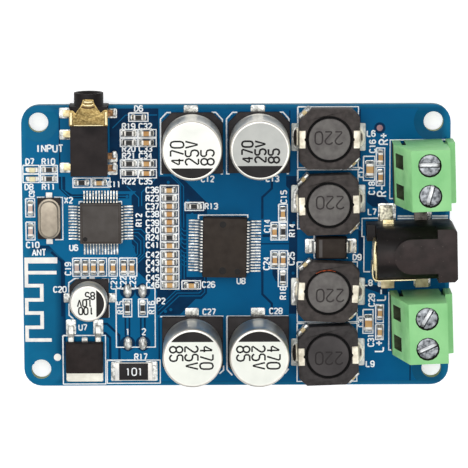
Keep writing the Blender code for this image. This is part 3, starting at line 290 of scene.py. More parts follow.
class Finish(Wiring):
    """One material, built up from patterns."""

    def __init__(self, name, colour, roughness=0.5, metallic=0.0, **constants):
        self.material = bpy.data.materials.new(name)
        self.material.use_nodes = True
        super().__init__(self.material.node_tree)
        self.shader = self.tree.nodes["Principled BSDF"]
        self.material.diffuse_color = colour
        self.colour = colour
        self.set(Base_Color=colour, Roughness=roughness, Metallic=metallic, **constants)
        self.where = self.node("ShaderNodeTexCoord", out="Object")

    def set(self, **sockets):
        for key, value in sockets.items():
            self.wire(self.shader.inputs[key.replace("_", " ")], value)
        return self

    def stretched(self, x, y, z):
        """Object coordinates, stretched along the axes."""
        return self.node("ShaderNodeMapping", Vector=self.where, Scale=(x, y, z))

    def noise(self, scale, detail=3.0, where=None):
        return self.node("ShaderNodeTexNoise", out="Fac", Vector=where or self.where, Scale=scale,
                         Detail=detail)

    def spots(self, scale):
        return self.node("ShaderNodeTexVoronoi", out="Distance", Vector=self.where, Scale=scale)

    def axis(self, letter):
        return self.node("ShaderNodeSeparateXYZ", out=letter, Vector=self.where)

    def mix(self, share, first, second):
        node = self.tree.nodes.new("ShaderNodeMix")
        node.data_type = "RGBA"
        self.wire(node.inputs[0], share)
        self.wire(node.inputs[6], first)
        self.wire(node.inputs[7], second)
        return Tap(self, node.outputs[2])

    def bump(self, height, depth_mm, strength=1.0):
        relief = self.node("ShaderNodeBump", out="Normal", Height=height, Distance=depth_mm * MM,
                           Strength=strength)
        return self.set(Normal=relief)

    def clouded(self, darker, scale, share):
        """The base colour drifting towards a second colour in soft patches."""
        patches = self.noise(scale).within(0.35, 0.7) * share
        self.mottle = self.mix(patches, self.colour, darker)
        return self.set(Base_Color=self.mottle)


print("finish builder ready")

# %% [markdown]
# ## The studio
#
# Plain, soft and even, so that each colour renders about as it is written: one wide softbox, one fill and
# a grey sky add up to one. The camera sees the sky as white. A shiny part sees it white overhead and dim
# at the horizon, as in a light tent with an open rim: that gives bright metal its dark lines.

# %% Sky, lamps and floor
SKY_LEVEL = 0.60
HORIZON_LEVEL, HORIZON_FROM, HORIZON_TO = 0.22, 0.25, 0.9
SOFTBOX = {"place": (-0.10, 0.20, 0.52), "side": 0.60, "watts": 1.78}
FILL = {"place": (0.30, -0.25, 0.35), "side": 0.50, "watts": 0.62}
FLOOR_Z, FLOOR_HALF, PAPER_LEVEL, CAMERA_GLOW = -0.0013, 3.0, 0.93, 0.48

world = bpy.data.worlds.new("studio")
bpy.context.scene.world = world
world.use_nodes = True
sky = Wiring(world.node_tree)
backdrop = world.node_tree.nodes["Background"]
seen, glossy, passing = (sky.node("ShaderNodeLightPath", out=f"Is {kind} Ray")
                         for kind in ("Camera", "Glossy", "Transmission"))
direction = sky.node("ShaderNodeTexCoord", out="Generated")
height = sky.node("ShaderNodeSeparateXYZ", out="Z", Vector=direction)
mirrored = height.within(HORIZON_FROM, HORIZON_TO) * (1 - HORIZON_LEVEL) + HORIZON_LEVEL
shiny = glossy.maths("MAXIMUM", passing)
plain = (1 - shiny) * SKY_LEVEL
sky.wire(backdrop.inputs["Color"], (1, 1, 1, 1))
sky.wire(backdrop.inputs["Strength"], seen.maths("MAXIMUM", shiny * mirrored + plain))


def softbox(name, place, side, watts):
    """A square area lamp that looks at the middle of the board."""
    lamp = bpy.data.lights.new(name, "AREA")
    lamp.size = side
    lamp.energy = watts
    thing = bpy.data.objects.new(name, lamp)
    bpy.context.scene.collection.objects.link(thing)
    thing.location = place
    thing.rotation_euler = (-Vector(place)).to_track_quat("-Z", "Y").to_euler()


softbox("softbox", **SOFTBOX)
softbox("fill", **FILL)

floor_shape = bmesh.new()
bmesh.ops.create_grid(floor_shape, x_segments=1, y_segments=1, size=FLOOR_HALF)
floor_mesh = bpy.data.meshes.new("floor")
floor_shape.to_mesh(floor_mesh)
floor_shape.free()
floor = bpy.data.objects.new("floor", floor_mesh)
bpy.context.scene.collection.objects.link(floor)
floor_mesh.transform(Matrix.Translation((0, 0, FLOOR_Z)))
paper = Finish("paper", (PAPER_LEVEL, PAPER_LEVEL, PAPER_LEVEL, 1), 0.9)
to_camera = paper.node("ShaderNodeLightPath", out="Is Camera Ray")
glow = paper.mix(to_camera, (0, 0, 0, 1), (CAMERA_GLOW, CAMERA_GLOW, CAMERA_GLOW, 1))
paper.set(Emission_Color=glow, Emission_Strength=1.0)
floor_mesh.materials.append(paper.material)
print("studio lit, levels:", SKY_LEVEL, SOFTBOX["watts"], FILL["watts"])

# %% [markdown]
# ## The camera
#
# The photograph was taken from half a metre above, a little towards the audio socket's edge. That is why
# the tall cans lean away and show their far walls. The place and the turn were solved from the board's
# corners, its holes and the tops of the cans; the long lens keeps the board almost square.

# %% Camera
CAMERA_PLACE_MM = (-5.62, 88.51, 510.79)
CAMERA_TURN_DEGREES = (-9.636, -0.608, -0.107)
LENS_MM = 235.72

lens = bpy.data.cameras.new("camera")
lens.lens = LENS_MM
lens.sensor_width = 36.0
lens.clip_start = 0.01
camera = bpy.data.objects.new("camera", lens)
bpy.context.scene.collection.objects.link(camera)
camera.location = [value * MM for value in CAMERA_PLACE_MM]
camera.rotation_euler = [math.radians(value) for value in CAMERA_TURN_DEGREES]
bpy.context.scene.camera = camera
bpy.context.scene.view_settings.view_transform = "Standard"
print("camera at", [round(value, 3) for value in camera.location])

# %% [markdown]
# ## Pen strokes and lettering
#
# Legend ink, laser marks and the print on the cans are all drawn with a pen of one width. A curve with a
# round bevel is such a pen, and squeezing it flat gives a thin line with softly raised edges. The letters
# are strokes on a grid 8 wide and 12 high, two hexadecimal digits a point, as plotters draw them.

# %% The pen and its alphabet
ALPHABET = {
    "0": "20 60 82 8a 6c 2c 0a 02 20", "1": "2a 4c 40", "2": "0a 2c 6c 8a 88 00 80",
    "3": "0a 2c 6c 8a 88 66 36/66 84 82 60 20 02", "4": "60 6c 04 84", "5": "8c 0c 07 67 85 82 60 20 02",
    "6": "8a 6c 2c 0a 02 20 60 82 85 67 27 05", "7": "0c 8c 30",
    "8": "26 08 0a 2c 6c 8a 88 66 26 04 02 20 60 82 84 66", "9": "02 20 60 82 8a 6c 2c 0a 07 25 65 87",
    "A": "00 4c 80/24 64", "C": "8a 6c 2c 0a 02 20 60 82", "D": "00 0c 4c 89 83 40 00",
    "E": "8c 0c 00 80/06 66", "I": "40 4c", "L": "0c 00 80", "N": "00 0c 80 8c", "P": "00 0c 6c 8a 88 66 06",
    "R": "00 0c 6c 8a 88 66 06/46 80", "T": "0c 8c/4c 40", "U": "0c 02 20 60 82 8c", "V": "0c 40 8c",
    "X": "00 8c/0c 80", "+": "42 4a/06 86", "-": "06 86",
}
GLYPH_WIDTH, GLYPH_HEIGHT, GLYPH_STEP = 8, 12, 11
CORNER_CUT = 1.3


def eased(path, cut):
    """The path with each corner swapped for two points a short way before and after it."""
    points = [Vector(point) for point in path]
    smooth = points[:1]
    for before, corner, after in zip(points, points[1:], points[2:]):
        for other in (before, after):
            reach = min(cut, (other - corner).length / 3)
            smooth.append(corner + (other - corner).normalized() * reach)
    return [tuple(point) for point in smooth + points[-1:]]


def lettering(text, x, y, height, turn=0.0, squeeze=1.0):
    """The strokes of a text centred on a place and turned in degrees."""
    unit = height / GLYPH_HEIGHT
    across = unit * squeeze
    start = -(GLYPH_STEP * (len(text) - 1) + GLYPH_WIDTH) / 2
    spin = Matrix.Rotation(math.radians(turn), 2)
    strokes = []
    for count, letter in enumerate(text):
        for stroke in ALPHABET[letter].split("/"):
            grid = [(int(pair[0], 16), int(pair[1], 16)) for pair in stroke.split()]
            local = [(across * (start + GLYPH_STEP * count + gx), unit * (gy - GLYPH_HEIGHT / 2))
                     for gx, gy in grid]
            turned = [spin @ Vector(point) + Vector((x, y)) for point in eased(local, unit * CORNER_CUT)]
            strokes.append([tuple(point) for point in turned])
    return strokes


def from_curve(strokes, closed, **settings):
    """Strokes of (x, y) points drawn as a curve with the given settings, then made a shape."""
    curve = bpy.data.curves.new("stroke", "CURVE")
    for key, value in settings.items():
        setattr(curve, key, value)
    for stroke in strokes:
        line = curve.splines.new("POLY")
        line.points.add(len(stroke) - 1)
        for point, (x, y) in zip(line.points, stroke):
            point.co = (x, y, 0, 1)
        line.use_cyclic_u = closed
    carrier = bpy.data.objects.new("stroke", curve)
    mesh = bpy.data.meshes.new_from_object(carrier)
    shape = bmesh.new()
    shape.from_mesh(mesh)
    bpy.data.objects.remove(carrier)
    bpy.data.curves.remove(curve)
    bpy.data.meshes.remove(mesh)
    bmesh.ops.remove_doubles(shape, verts=shape.verts, dist=1e-5)
    bmesh.ops.recalc_face_normals(shape, faces=shape.faces)
    return shape


def pen(strokes, width, low, high, rounds=1):
    """Strokes as a solid line of one width between two heights."""
    shape = from_curve(strokes, False, dimensions="3D", bevel_depth=width / 2, bevel_resolution=rounds,
                       use_fill_caps=True)
    bmesh.ops.scale(shape, vec=(1, 1, (high - low) / width), verts=shape.verts)
    return moved(shape, z=(low + high) / 2)


def framed(x0, y0, x1, y1):
    """The corners of a drawn box, its first one repeated at the end."""
    return [(x0, y0), (x1, y0), (x1, y1), (x0, y1), (x0, y0)]


print("alphabet of", len(ALPHABET), "signs")

# %% [markdown]
# A sheet with holes in it, such as the laminate or a pour of copper, is a filled flat curve. Its first
# outline is the sheet and every further one inside it is a hole. That saves a Boolean for each hole.

# %% Sheets with holes


def ring_of(x, y, radius, steps=32):
    """The points of a circle."""
    return [(x + radius * math.cos(math.tau * step / steps), y + radius * math.sin(math.tau * step / steps))
            for step in range(steps)]


def rounded(x0, y0, x1, y1, radius, steps=6):
    """The points of a box with round corners."""
    points = []
    for cx, cy, first in ((x1 - radius, y1 - radius, 0), (x0 + radius, y1 - radius, 90),
                          (x0 + radius, y0 + radius, 180), (x1 - radius, y0 + radius, 270)):
        for step in range(steps + 1):
            angle = math.radians(first + 90 * step / steps)
            points.append((cx + radius * math.cos(angle), cy + radius * math.sin(angle)))
    return points


def sheet(outlines, low, high):
    """Flat outlines, the inner ones holes, made solid between two heights."""
    shape = from_curve(outlines, True, dimensions="2D", fill_mode="BOTH", extrude=(high - low) / 2)
    return moved(shape, z=(low + high) / 2)


print("sheet cutter ready")

# %% [markdown]
# ## Solder mask
#
# The mask is a glossy blue lacquer. Over copper it looks bright; over bare laminate it looks navy, and
# near the edges, the holes and the antenna light comes through the glass fibre and turns it teal. The
# bare side of the mask therefore works out its teal share from the distance to the edge and to the four
# holes.

# %% Mask, laminate edge and legend ink
HOLE_X, HOLE_Y, HOLE_RADIUS = 33.1, 21.1, 1.65
ANTENNA_ZONE_X = -29.6


def lacquered(finish):
    """Gloss and the faint orange peel of a cured lacquer."""
    peel = finish.noise(900, 2.0)
    finish.set(Roughness=finish.noise(260, 3.0) * 0.22 + 0.24, Specular_IOR_Level=0.055)
    return finish.bump(peel, 0.02, 0.35)


mask_on_copper = Finish("mask_on_copper", paint(0, 88, 134))
mask_on_copper.clouded(paint(0, 75, 120), 140, 0.7)
greener = 1 - mask_on_copper.axis("X").within(-34 * MM, 6 * MM)
mask_on_copper.set(Base_Color=mask_on_copper.mix(greener * 0.75, mask_on_copper.mottle,
                                                 paint(10, 102, 146)))
lacquered(mask_on_copper)

mask_on_laminate = Finish("mask_on_laminate", paint(16, 58, 112))
side_x = mask_on_laminate.axis("X").size()
side_y = mask_on_laminate.axis("Y").size()
from_hole_x = side_x - HOLE_X * MM
from_hole_y = side_y - HOLE_Y * MM
from_hole = (from_hole_x * from_hole_x + from_hole_y * from_hole_y).maths("SQRT")
edge_glow = side_x.within((HALF_LENGTH - 2.4) * MM, (HALF_LENGTH - 0.6) * MM).maths(
    "MAXIMUM", side_y.within((HALF_WIDTH - 1.3) * MM, HALF_WIDTH * MM))
left_end = 1 - mask_on_laminate.axis("X").within(-5 * MM, 5 * MM)
hole_glow = (1 - from_hole.within(3.1 * MM, 4.8 * MM)) * (left_end * 0.45 + 0.45)
antenna_glow = (mask_on_laminate.axis("X") * -1).within(-(ANTENNA_ZONE_X + 0.5) * MM,
                                                        -(ANTENNA_ZONE_X - 1.2) * MM)
antenna_glow = antenna_glow * (mask_on_laminate.axis("Y") * -1).within(0.2 * MM, 1.6 * MM) * 0.85
teal_share = edge_glow.maths("MAXIMUM", hole_glow).maths("MAXIMUM", antenna_glow)
teal_share = teal_share * (mask_on_laminate.noise(300, 3.0) * 0.4 + 0.75)
mask_on_laminate.set(Base_Color=mask_on_laminate.mix(teal_share, paint(0, 48, 84), paint(16, 106, 146)))
lacquered(mask_on_laminate)

mask_channel_and_shadow = Finish("mask_channel_and_shadow", paint(0, 38, 70), 0.35)
mask_channel_and_shadow.clouded(paint(0, 52, 88), 500, 0.7)
lacquered(mask_channel_and_shadow)


def cut_fibre(name, colour, roughness, pale, dark):
    """The cut side of the laminate, with its flat layers of glass."""
    finish = Finish(name, paint(*colour), roughness)
    layers = finish.noise(1400, 3.0, finish.stretched(0.15, 0.15, 5.0))
    finish.set(Base_Color=finish.mix(layers.within(0.4, 0.62), paint(*pale), paint(*dark)))
    return finish.bump(layers, 0.03, 0.6)


glass_fibre = cut_fibre("glass_fibre", (176, 184, 140), 0.75, (186, 190, 146), (128, 142, 104))
routed_edge = cut_fibre("routed_edge", (92, 124, 138), 0.7, (104, 132, 138), (52, 92, 118))

legend_ink = Finish("legend_ink", paint(250, 251, 250), 0.6)
legend_ink.clouded(paint(206, 218, 226), 2600, 0.7)
legend_ink.bump(legend_ink.noise(4000, 2.0), 0.01, 0.5)
print("mask, edge and ink mixed")

# %% [markdown]
# ## The bare board
#
# The laminate is a sheet with round corners and four holes. Its sides are cut glass fibre, the rest is
# mask. The frame's board node also holds the small chips and solder, so this piece stands for it, and the
# chips follow as pieces of their own.

# %% Laminate
CORNER_RADIUS = 3.0
PIN_HOLE_RADIUS = 0.78
PIN_FROM_REAR = 0.55
RIM = 0.2


def terminal_pins():
    """Places of the four terminal pins, from the frame's contact strips: the pin is at the strip's rear."""
    places = []
    for block_name in ("right_terminal", "left_terminal"):
        for number in (1, 2):
            low, high = corners(f"{block_name}_contact_{number}")
            places.append((low.x + PIN_FROM_REAR, (low.y + high.y) / 2))
    return places


pin_places = terminal_pins()
hole_places = [(sx * HOLE_X, sy * HOLE_Y) for sx in (-1, 1) for sy in (-1, 1)]
outline = rounded(-HALF_LENGTH, -HALF_WIDTH, HALF_LENGTH, HALF_WIDTH, CORNER_RADIUS)
drilled = [ring_of(x, y, HOLE_RADIUS) for x, y in hole_places]
drilled += [ring_of(x, y, PIN_HOLE_RADIUS, 12) for x, y in pin_places]
laminate = softened(sheet([outline, *drilled], 0, BOARD_TOP), 0.06, 2, 60)
for face in laminate.faces:
    at = face.calc_center_median()
    at_hole = math.hypot(abs(at.x) - HOLE_X, abs(at.y) - HOLE_Y) < HOLE_RADIUS + RIM
    at_pin = min(math.hypot(at.x - x, at.y - y) for x, y in pin_places) < PIN_HOLE_RADIUS + RIM
    masked = abs(face.normal.z) > (0.9 if at_hole else 0.3)
    face.material_index = 0 if masked else (1 if at_hole or at_pin else 2)
piece("laminate", laminate, [mask_on_laminate, glass_fibre, routed_edge], replaces=["circuit_board"])

# %% [markdown]
# ## Copper under the mask
#
# Copper is 0.035 mm thick and the mask follows it, so every pour and track shows as a soft step. The
# pours are sheets cut round the holes. Where the maker cleared copper away, a darker sheet or ribbon of
# mask lies over the pour, a hundredth of a millimetre high: cutting the pour itself would need a Boolean
# for every channel and would look the same. One sheet of the same dark mask, beside the power socket, is
# painted shadow of the socket. The tracks that cross the bare areas are pen strokes with a round top.

# %% Pours, clearings, painted shadow and tracks
POUR_TOP = BOARD_TOP + 0.014
CLEARING_TOP = BOARD_TOP + 0.019
TRACK_TOP = BOARD_TOP + 0.034

POUR_EDGE_X, POUR_EDGE_Y, HOLE_CLEARANCE = 35.3, 23.3, 3.3
CHANNEL_WIDTH, TRACK_WIDTH, VIA_RADIUS = 0.46, 0.24, 0.27
LINK_CLEARING_WIDTH, LINK_TRACK_WIDTH, LINK_RING_RADIUS = 1.25, 0.55, 1.28
LAYER_LIFT = 0.0003


def round_the_hole(side_x, side_y):
    """The pour's corner, led round the mounting hole on its inner side."""
    cx, cy = side_x * HOLE_X, side_y * HOLE_Y
    away = math.acos((POUR_EDGE_X - HOLE_X) / HOLE_CLEARANCE)
    arc = [-away - (math.tau - 2 * away - math.pi / 2) * step / 14 for step in range(15)]
    points = [(cx + side_x * HOLE_CLEARANCE * math.cos(angle),
               cy + side_y * HOLE_CLEARANCE * math.sin(angle)) for angle in arc]
    return points if side_x * side_y > 0 else points[::-1]


pour_outline = [*round_the_hole(1, 1), *round_the_hole(-1, 1), (-POUR_EDGE_X, 0.2), (-31.6, 0.2),
                (-28.9, -2.5), (-28.9, -POUR_EDGE_Y), *round_the_hole(1, -1)]
ground_pour = sheet([pour_outline], BOARD_TOP - 0.02, POUR_TOP)

clearing_and_shadow_outlines = [
    [(-21.2, 23.4), (-13.0, 23.4), (-13.0, 11.9), (-15.4, 9.4), (-21.2, 9.4)],
    [(-16.8, 9.4), (-13.0, 11.9), (-9.3, 11.9), (-4.9, 7.4), (-4.9, 5.5), (-8.4, 5.5), (-8.4, -5.3),
     (-4.95, -5.3), (-4.95, -8.1), (-5.9, -9.1), (-6.9, -9.1), (-9.6, -11.8), (-13.4, -11.8),
     (-13.4, -7.6), (-16.9, -4.1), (-16.9, -1.4), (-17.6, 0.4), (-17.6, 8.6)],
    [(-29.8, 11.9), (-28.7, 11.9), (-28.7, 9.6), (-27.6, 8.9), (-18.0, 8.9), (-18.0, 8.2), (-28.1, 8.2),
     (-29.8, 9.9)],
    [(8.4, 11.9), (10.2, 11.9), (10.2, 9.2), (9.4, 9.2), (8.4, 10.2)],
    [(6.1, -4.0), (7.0, -4.0), (7.0, -6.2), (6.6, -6.0), (6.1, -4.9)],
    [(4.4, 2.0), (6.0, 2.0), (6.0, 1.5), (4.4, 1.5)],
    [(22.0, 8.9), (24.2, 8.9), (25.6, 7.4), (25.6, 6.6), (23.0, 6.6), (22.0, 7.4)],
    # Painted shadow of the power socket, laid on the mask like a clearing.
    [(21.8, -6.4), (25.6, -7.3), (25.6, -8.4), (24.8, -8.4), (21.8, -7.3)],
    [(8.9, 9.6), (10.3, 9.6), (10.3, -11.7), (8.9, -11.7)],
    [(20.6, 2.6), (21.4, 2.6), (21.4, -2.6), (20.6, -2.6)],
]
channels = [
    [(6.0, 12.2), (6.0, 9.8), (4.4, 8.3), (4.4, 4.6)],
    [(4.4, -4.1), (4.4, -8.3), (6.0, -9.9), (6.0, -12.0)],
    [(-22.8, -13.3), (-21.9, -13.3), (-19.85, -15.3), (-19.85, -19.5)],
    [(-23.0, -14.9), (-22.2, -14.9), (-21.4, -15.7), (-21.4, -19.5)],
    [(-31.2, -0.9), (-29.4, -2.6), (-29.4, -12.0)],
]
fine_channels = [
    [(3.9, 0.35), (9.8, 0.35)], [(29.5, -20.4), (29.5, -23.3)], [(-13.1, -12.2), (-13.1, -23.0)],
    [(9.0, 12.6), (9.0, 23.0)], [(-28.4, 23.2), (-29.6, 22.0), (-29.6, 12.4)],
    [(20.8, 13.2), (20.8, 23.2)],
]
link_strips = [[(x, -12.3), (x, -15.4)] for x in (-18.45, -15.85)]
link_rings = [ring_of(x, y, LINK_RING_RADIUS, 20) for x in (-18.42, -15.83) for y in (-7.67, -16.7)]

tracks = [
    [(-20.7, 20.1), (-18.5, 22.3), (-13.2, 22.3)], [(-18.4, 10.3), (-16.4, 8.3), (-16.4, 6.8)],
    [(-13.4, 11.7), (-15.9, 9.2), (-15.9, 6.9)],
    [(-29.3, 12.0), (-29.3, 9.8), (-28.0, 8.55), (-18.4, 8.55)], [(-14.0, 11.9), (-15.2, 10.7)],
    [(-7.3, -3.4), (-7.3, -5.2)], [(-9.35, 0.0), (-9.35, 10.4), (-10.9, 11.9)],
    [(-8.85, 3.2), (-8.85, 10.2), (-10.4, 11.9)],
    [(-5.35, -5.3), (-5.35, -7.9), (-6.0, -8.55), (-9.7, -8.55), (-13.0, -11.7)],
    [(-5.85, -7.6), (-6.3, -8.05), (-10.0, -8.05), (-13.2, -11.1)],
    [(-9.5, -7.6), (-10.2, -7.6), (-13.2, -10.5)], [(-9.35, -0.6), (-9.35, -5.6)],
    [(-8.8, -1.4), (-8.8, -5.6)],
]
for step in range(5):
    drop = 0.55 * step
    tracks.append([(-17.6, 2.9 - drop), (-16.0 - drop * 0.9, 2.9 - drop), (-15.0 - drop, 1.9 - drop * 0.9),
                   (-15.0 - drop, -1.3), (-17.4 - drop, -3.6)])
for step in range(9):
    tracks.append([(-8.3, 2.6 - 0.75 * step), (-8.8, 2.6 - 0.75 * step), (-9.4, 3.2 - 0.75 * step)])

clearing_and_shadow_sheets = [sheet([corner_list], POUR_TOP - 0.01, CLEARING_TOP + LAYER_LIFT * count)
                   for count, corner_list in enumerate(clearing_and_shadow_outlines + link_rings)]
for paths, width, depth in ((channels, CHANNEL_WIDTH, 0.012), (fine_channels, TRACK_WIDTH, 0.012),
                            (link_strips, LINK_CLEARING_WIDTH, 0.02)):
    clearing_and_shadow_sheets.append(pen(paths, width, POUR_TOP - depth, CLEARING_TOP + 0.004))
piece("copper_pour", ground_pour, [mask_on_copper])
piece("mask_clearings_and_shadow", gathered(clearing_and_shadow_sheets), [mask_channel_and_shadow])
raised = [pen(tracks, TRACK_WIDTH, BOARD_TOP - 0.02, TRACK_TOP),
          pen(link_strips, LINK_TRACK_WIDTH, BOARD_TOP - 0.02, TRACK_TOP)]
piece("tracks", gathered(raised), [mask_on_copper])

via_places = [
    (-28.4, 10.85), (-18.35, 8.5), (-34.3, 9.6), (-8.1, 7.7), (-7.4, 5.4), (-9.3, 1.2), (-11.4, 10.9),
    (5.0, 5.2), (9.7, 3.9), (9.6, -4.7), (4.7, 2.5), (4.9, 3.1), (12.6, -2.4), (-12.0, -11.2),
    (-11.1, -10.9), (-34.5, -20.0), (21.5, 3.1), (0.2, 7.2), (-24.8, -4.6), (1.6, -9.2),
]


def vias(low, high):
    """A small disc at each via, between two heights."""
    return [softened(plate(ring_of(x, y, VIA_RADIUS, 12), low, high), 0.01, 1) for x, y in via_places]


piece("vias", gathered(vias(BOARD_TOP, CLEARING_TOP + 0.012)), [mask_on_copper])

# %% [markdown]
# ## More finishes
#
# The same few recipes make the rest. A moulded part has a dull skin with fine grain and soft patches. A
# metal takes its colour from the reflection, so it needs patches in its roughness, or it looks like grey
# plastic.

# %% Moulded, metal and ceramic finishes


def moulded(name, colour, darker, roughness=0.55, grain=2600, depth_mm=0.012, cloud=420):
    """Plastic, epoxy or ceramic: soft patches of a second colour and a fine grain."""
    finish = Finish(name, paint(*colour), roughness, Specular_IOR_Level=0.2)
    finish.clouded(paint(*darker), cloud, 0.8)
    finish.set(Roughness=finish.noise(cloud * 2) * 0.3 + (roughness - 0.15))
    return finish.bump(finish.noise(grain, 3.0), depth_mm, 0.5)


def metal(name, colour, darker, roughness=0.3, cloud=700, depth_mm=0.03, share=0.9, shine=0.85):
    """Plated or soldered metal: stained patches, uneven gloss and small dents."""
    finish = Finish(name, paint(*colour), roughness, shine)
    finish.clouded(paint(*darker), cloud, share)
    finish.set(Roughness=finish.noise(cloud * 1.7) * 0.35 + (roughness - 0.15))
    return finish.bump(finish.noise(cloud * 0.8, 2.0), depth_mm, 0.6)


solder = metal("solder", (232, 232, 226), (118, 120, 120), 0.24, 1500, 0.14, 1.0)
lead_tin = metal("lead_tin", (222, 220, 212), (166, 166, 164), 0.32, 1500, 0.02)
wire_copper = metal("wire_copper", (196, 92, 50), (84, 36, 22), 0.4, 1300, 0.02, 1.0)
bare_copper = metal("bare_copper", (142, 112, 116), (104, 80, 88), 0.4, 900, 0.02)
bright_tin = metal("bright_tin", (236, 232, 224), (200, 202, 204), 0.4, 700, 0.03, 0.7, 0.35)
clip_metal = metal("clip_metal", (232, 226, 208), (176, 166, 146), 0.34, 900, 0.04)
steel = metal("cage_steel", (150, 148, 144), (96, 94, 92), 0.38, 900, 0.03)
zinc = metal("screw_zinc", (164, 168, 172), (26, 30, 38), 0.3, 1500, 0.12, 1.0)
slot_zinc = metal("slot_zinc", (236, 238, 238), (176, 180, 184), 0.3, 1100, 0.03)
gold = metal("shell_gold", (190, 166, 108), (138, 112, 64), 0.34, 3600, 0.03, 1.0)
stained_tin = metal("stained_tin", (158, 118, 80), (38, 22, 16), 0.3, 1700, 0.08, 1.0)
cream_tin = metal("cream_tin", (240, 226, 180), (186, 160, 108), 0.32, 1200, 0.04)
dark_tin = metal("dark_tin", (104, 98, 92), (18, 15, 14), 0.34, 1100, 0.06, 1.0)
foot_cream = metal("foot_cream", (240, 226, 186), (196, 174, 126), 0.4, 1200, 0.05, 0.9, 0.3)
foot_tin = metal("foot_tin", (222, 216, 192), (92, 90, 82), 0.34, 1900, 0.1, 1.0, 0.7)
brass = metal("spring_brass", (240, 228, 186), (196, 178, 132), 0.28, 900, 0.03)
crystal_lid = metal("crystal_lid", (164, 154, 138), (122, 112, 101), 0.34, 600, 0.03, 0.6)

epoxy = moulded("package_epoxy", (51, 43, 37), (36, 29, 25), 0.62, 3400, 0.014)
receiver_epoxy = moulded("receiver_epoxy", (79, 75, 72), (68, 63, 60), 0.62, 3400, 0.02)
regulator_epoxy = moulded("regulator_epoxy", (37, 29, 27), (23, 17, 16), 0.6, 3400, 0.02)
tab_tin = metal("tab_tin", (252, 250, 236), (230, 226, 210), 0.45, 900, 0.02, 0.7, 0.3)
pad_tin = metal("pad_tin", (200, 202, 196), (134, 140, 138), 0.4, 1000, 0.04, 1.0, 0.7)
# Bright solder. On the solder links and the inductor pads it also paints highlights.
bright_solder_and_highlights = metal("bright_solder_and_highlights", (252, 252, 248), (150, 152, 150), 0.34, 1900, 0.12, 1.0, 0.6)
power_black = moulded("power_black", (50, 40, 39), (26, 21, 19), 0.45, 2200, 0.02)
# Painted shade: faces below the power socket's top are darkened nearly to black.
painted_shade_share = 1 - power_black.axis("Z").within(12.2 * MM, 12.48 * MM)
painted_shade_colour = power_black.mix(painted_shade_share * 0.85, power_black.mottle, paint(9, 6, 6))
dust = 1 - power_black.spots(1100).within(0.02, 0.1)
power_black.set(Base_Color=power_black.mix(dust * 0.5, painted_shade_colour, paint(112, 100, 94)))
audio_black = moulded("audio_black", (43, 38, 38), (18, 15, 17), 0.45, 2600, 0.05, 420)
rear_end = 1 - audio_black.axis("Y").within(13 * MM, 21 * MM)
audio_black.set(Base_Color=audio_black.mix(rear_end * 0.6, audio_black.mottle, paint(50, 45, 44)),
                Specular_IOR_Level=0.1)
base_black = moulded("base_black", (42, 37, 38), (28, 25, 26), 0.5, 2600, 0.014)
ferrite = moulded("ferrite", (69, 63, 61), (42, 38, 37), 0.6, 3800, 0.04, 900)
drum_ferrite = moulded("drum_ferrite", (108, 105, 102), (82, 77, 77), 0.5, 3800, 0.025, 700)
oiled_ferrite = moulded("oiled_ferrite", (72, 68, 68), (38, 35, 36), 0.42, 3800, 0.03, 160)
oiled_shield = moulded("oiled_shield", (57, 53, 53), (35, 32, 32), 0.5, 3800, 0.04, 900)
# Painted dark reflection in the hollows of two inductor pads.
painted_dark_reflection = moulded("painted_dark_reflection", (16, 11, 9), (34, 26, 20), 0.5)
print_ink = moulded("print_ink", (14, 13, 13), (26, 25, 25), 0.55, 3000, 0.01)
gap_black = moulded("gap_black", (13, 12, 13), (8, 8, 9), 0.8)
oiled_mark = moulded("oiled_mark", (32, 29, 29), (45, 41, 41), 0.6)
drum_mark = moulded("drum_mark", (50, 46, 46), (64, 59, 59), 0.7)
ceramic_tan = moulded("ceramic_tan", (208, 170, 116), (176, 122, 68), 0.45, 3000, 0.01, 300)
ceramic_pink = moulded("ceramic_pink", (206, 184, 172), (172, 148, 138), 0.45, 3000, 0.01, 260)
resistor_black = moulded("resistor_black", (50, 50, 50), (34, 33, 33), 0.4, 3000, 0.01)
alumina = moulded("alumina", (224, 222, 214), (196, 192, 184), 0.5)
led_lens = moulded("led_lens", (240, 234, 196), (214, 200, 148), 0.3)
wire_cream = moulded("wire_cream", (232, 214, 170), (196, 170, 118), 0.4)
print("finishes:", len(bpy.data.materials))

# %% [markdown]
# The terminals are a milky green nylon. Their deep wells and windows are painted in shade, nearly black,
# and their sloped faces in a lighter green as painted light. The winding is enamelled copper wire, a saw
# of fine ridges round the drum. Drawn aluminium has lines that run up its wall.

# %% Green plastic, winding and drawn aluminium
terminal_green = moulded("terminal_green", (146, 208, 142), (124, 190, 124), 0.42, 1500, 0.02, 180)
# Painted light: a lighter green for the sloped faces of the blocks.
slope_painted_light = moulded("slope_painted_light", (160, 226, 156), (126, 196, 126), 0.42, 1500, 0.02, 300)
well_shadow = moulded("well_shadow", (58, 70, 46), (26, 30, 22), 0.7, 2600, 0.02, 900)

winding = metal("enamelled_winding", (196, 112, 54), (120, 62, 26), 0.3, 500, 0.02)
turns = (winding.axis("Z") * 9000).maths("SINE")
winding.bump(turns, 0.06, 1.0)

can_side = metal("can_side", (240, 236, 226), (200, 199, 194), 0.3, 300, 0.006, 0.8, 0.9)
drawn_lines = can_side.noise(500, 4.0, can_side.stretched(1.0, 1.0, 0.06))
can_side.set(Roughness=drawn_lines * 0.25 + 0.2)
can_side.bump(drawn_lines, 0.01, 0.3)

can_top = moulded("can_top", (249, 250, 243), (234, 236, 228), 0.4, 1800, 0.012, 300)
can_top_warm = moulded("can_top_warm", (241, 243, 234), (226, 229, 220), 0.4, 1800, 0.012, 300)
can_top_grey = moulded("can_top_grey", (192, 193, 188), (174, 176, 172), 0.4, 1800, 0.012, 300)
print_black = moulded("print_black", (22, 20, 20), (38, 35, 35), 0.5, 3000, 0.01)
print("finishes:", len(bpy.data.materials))

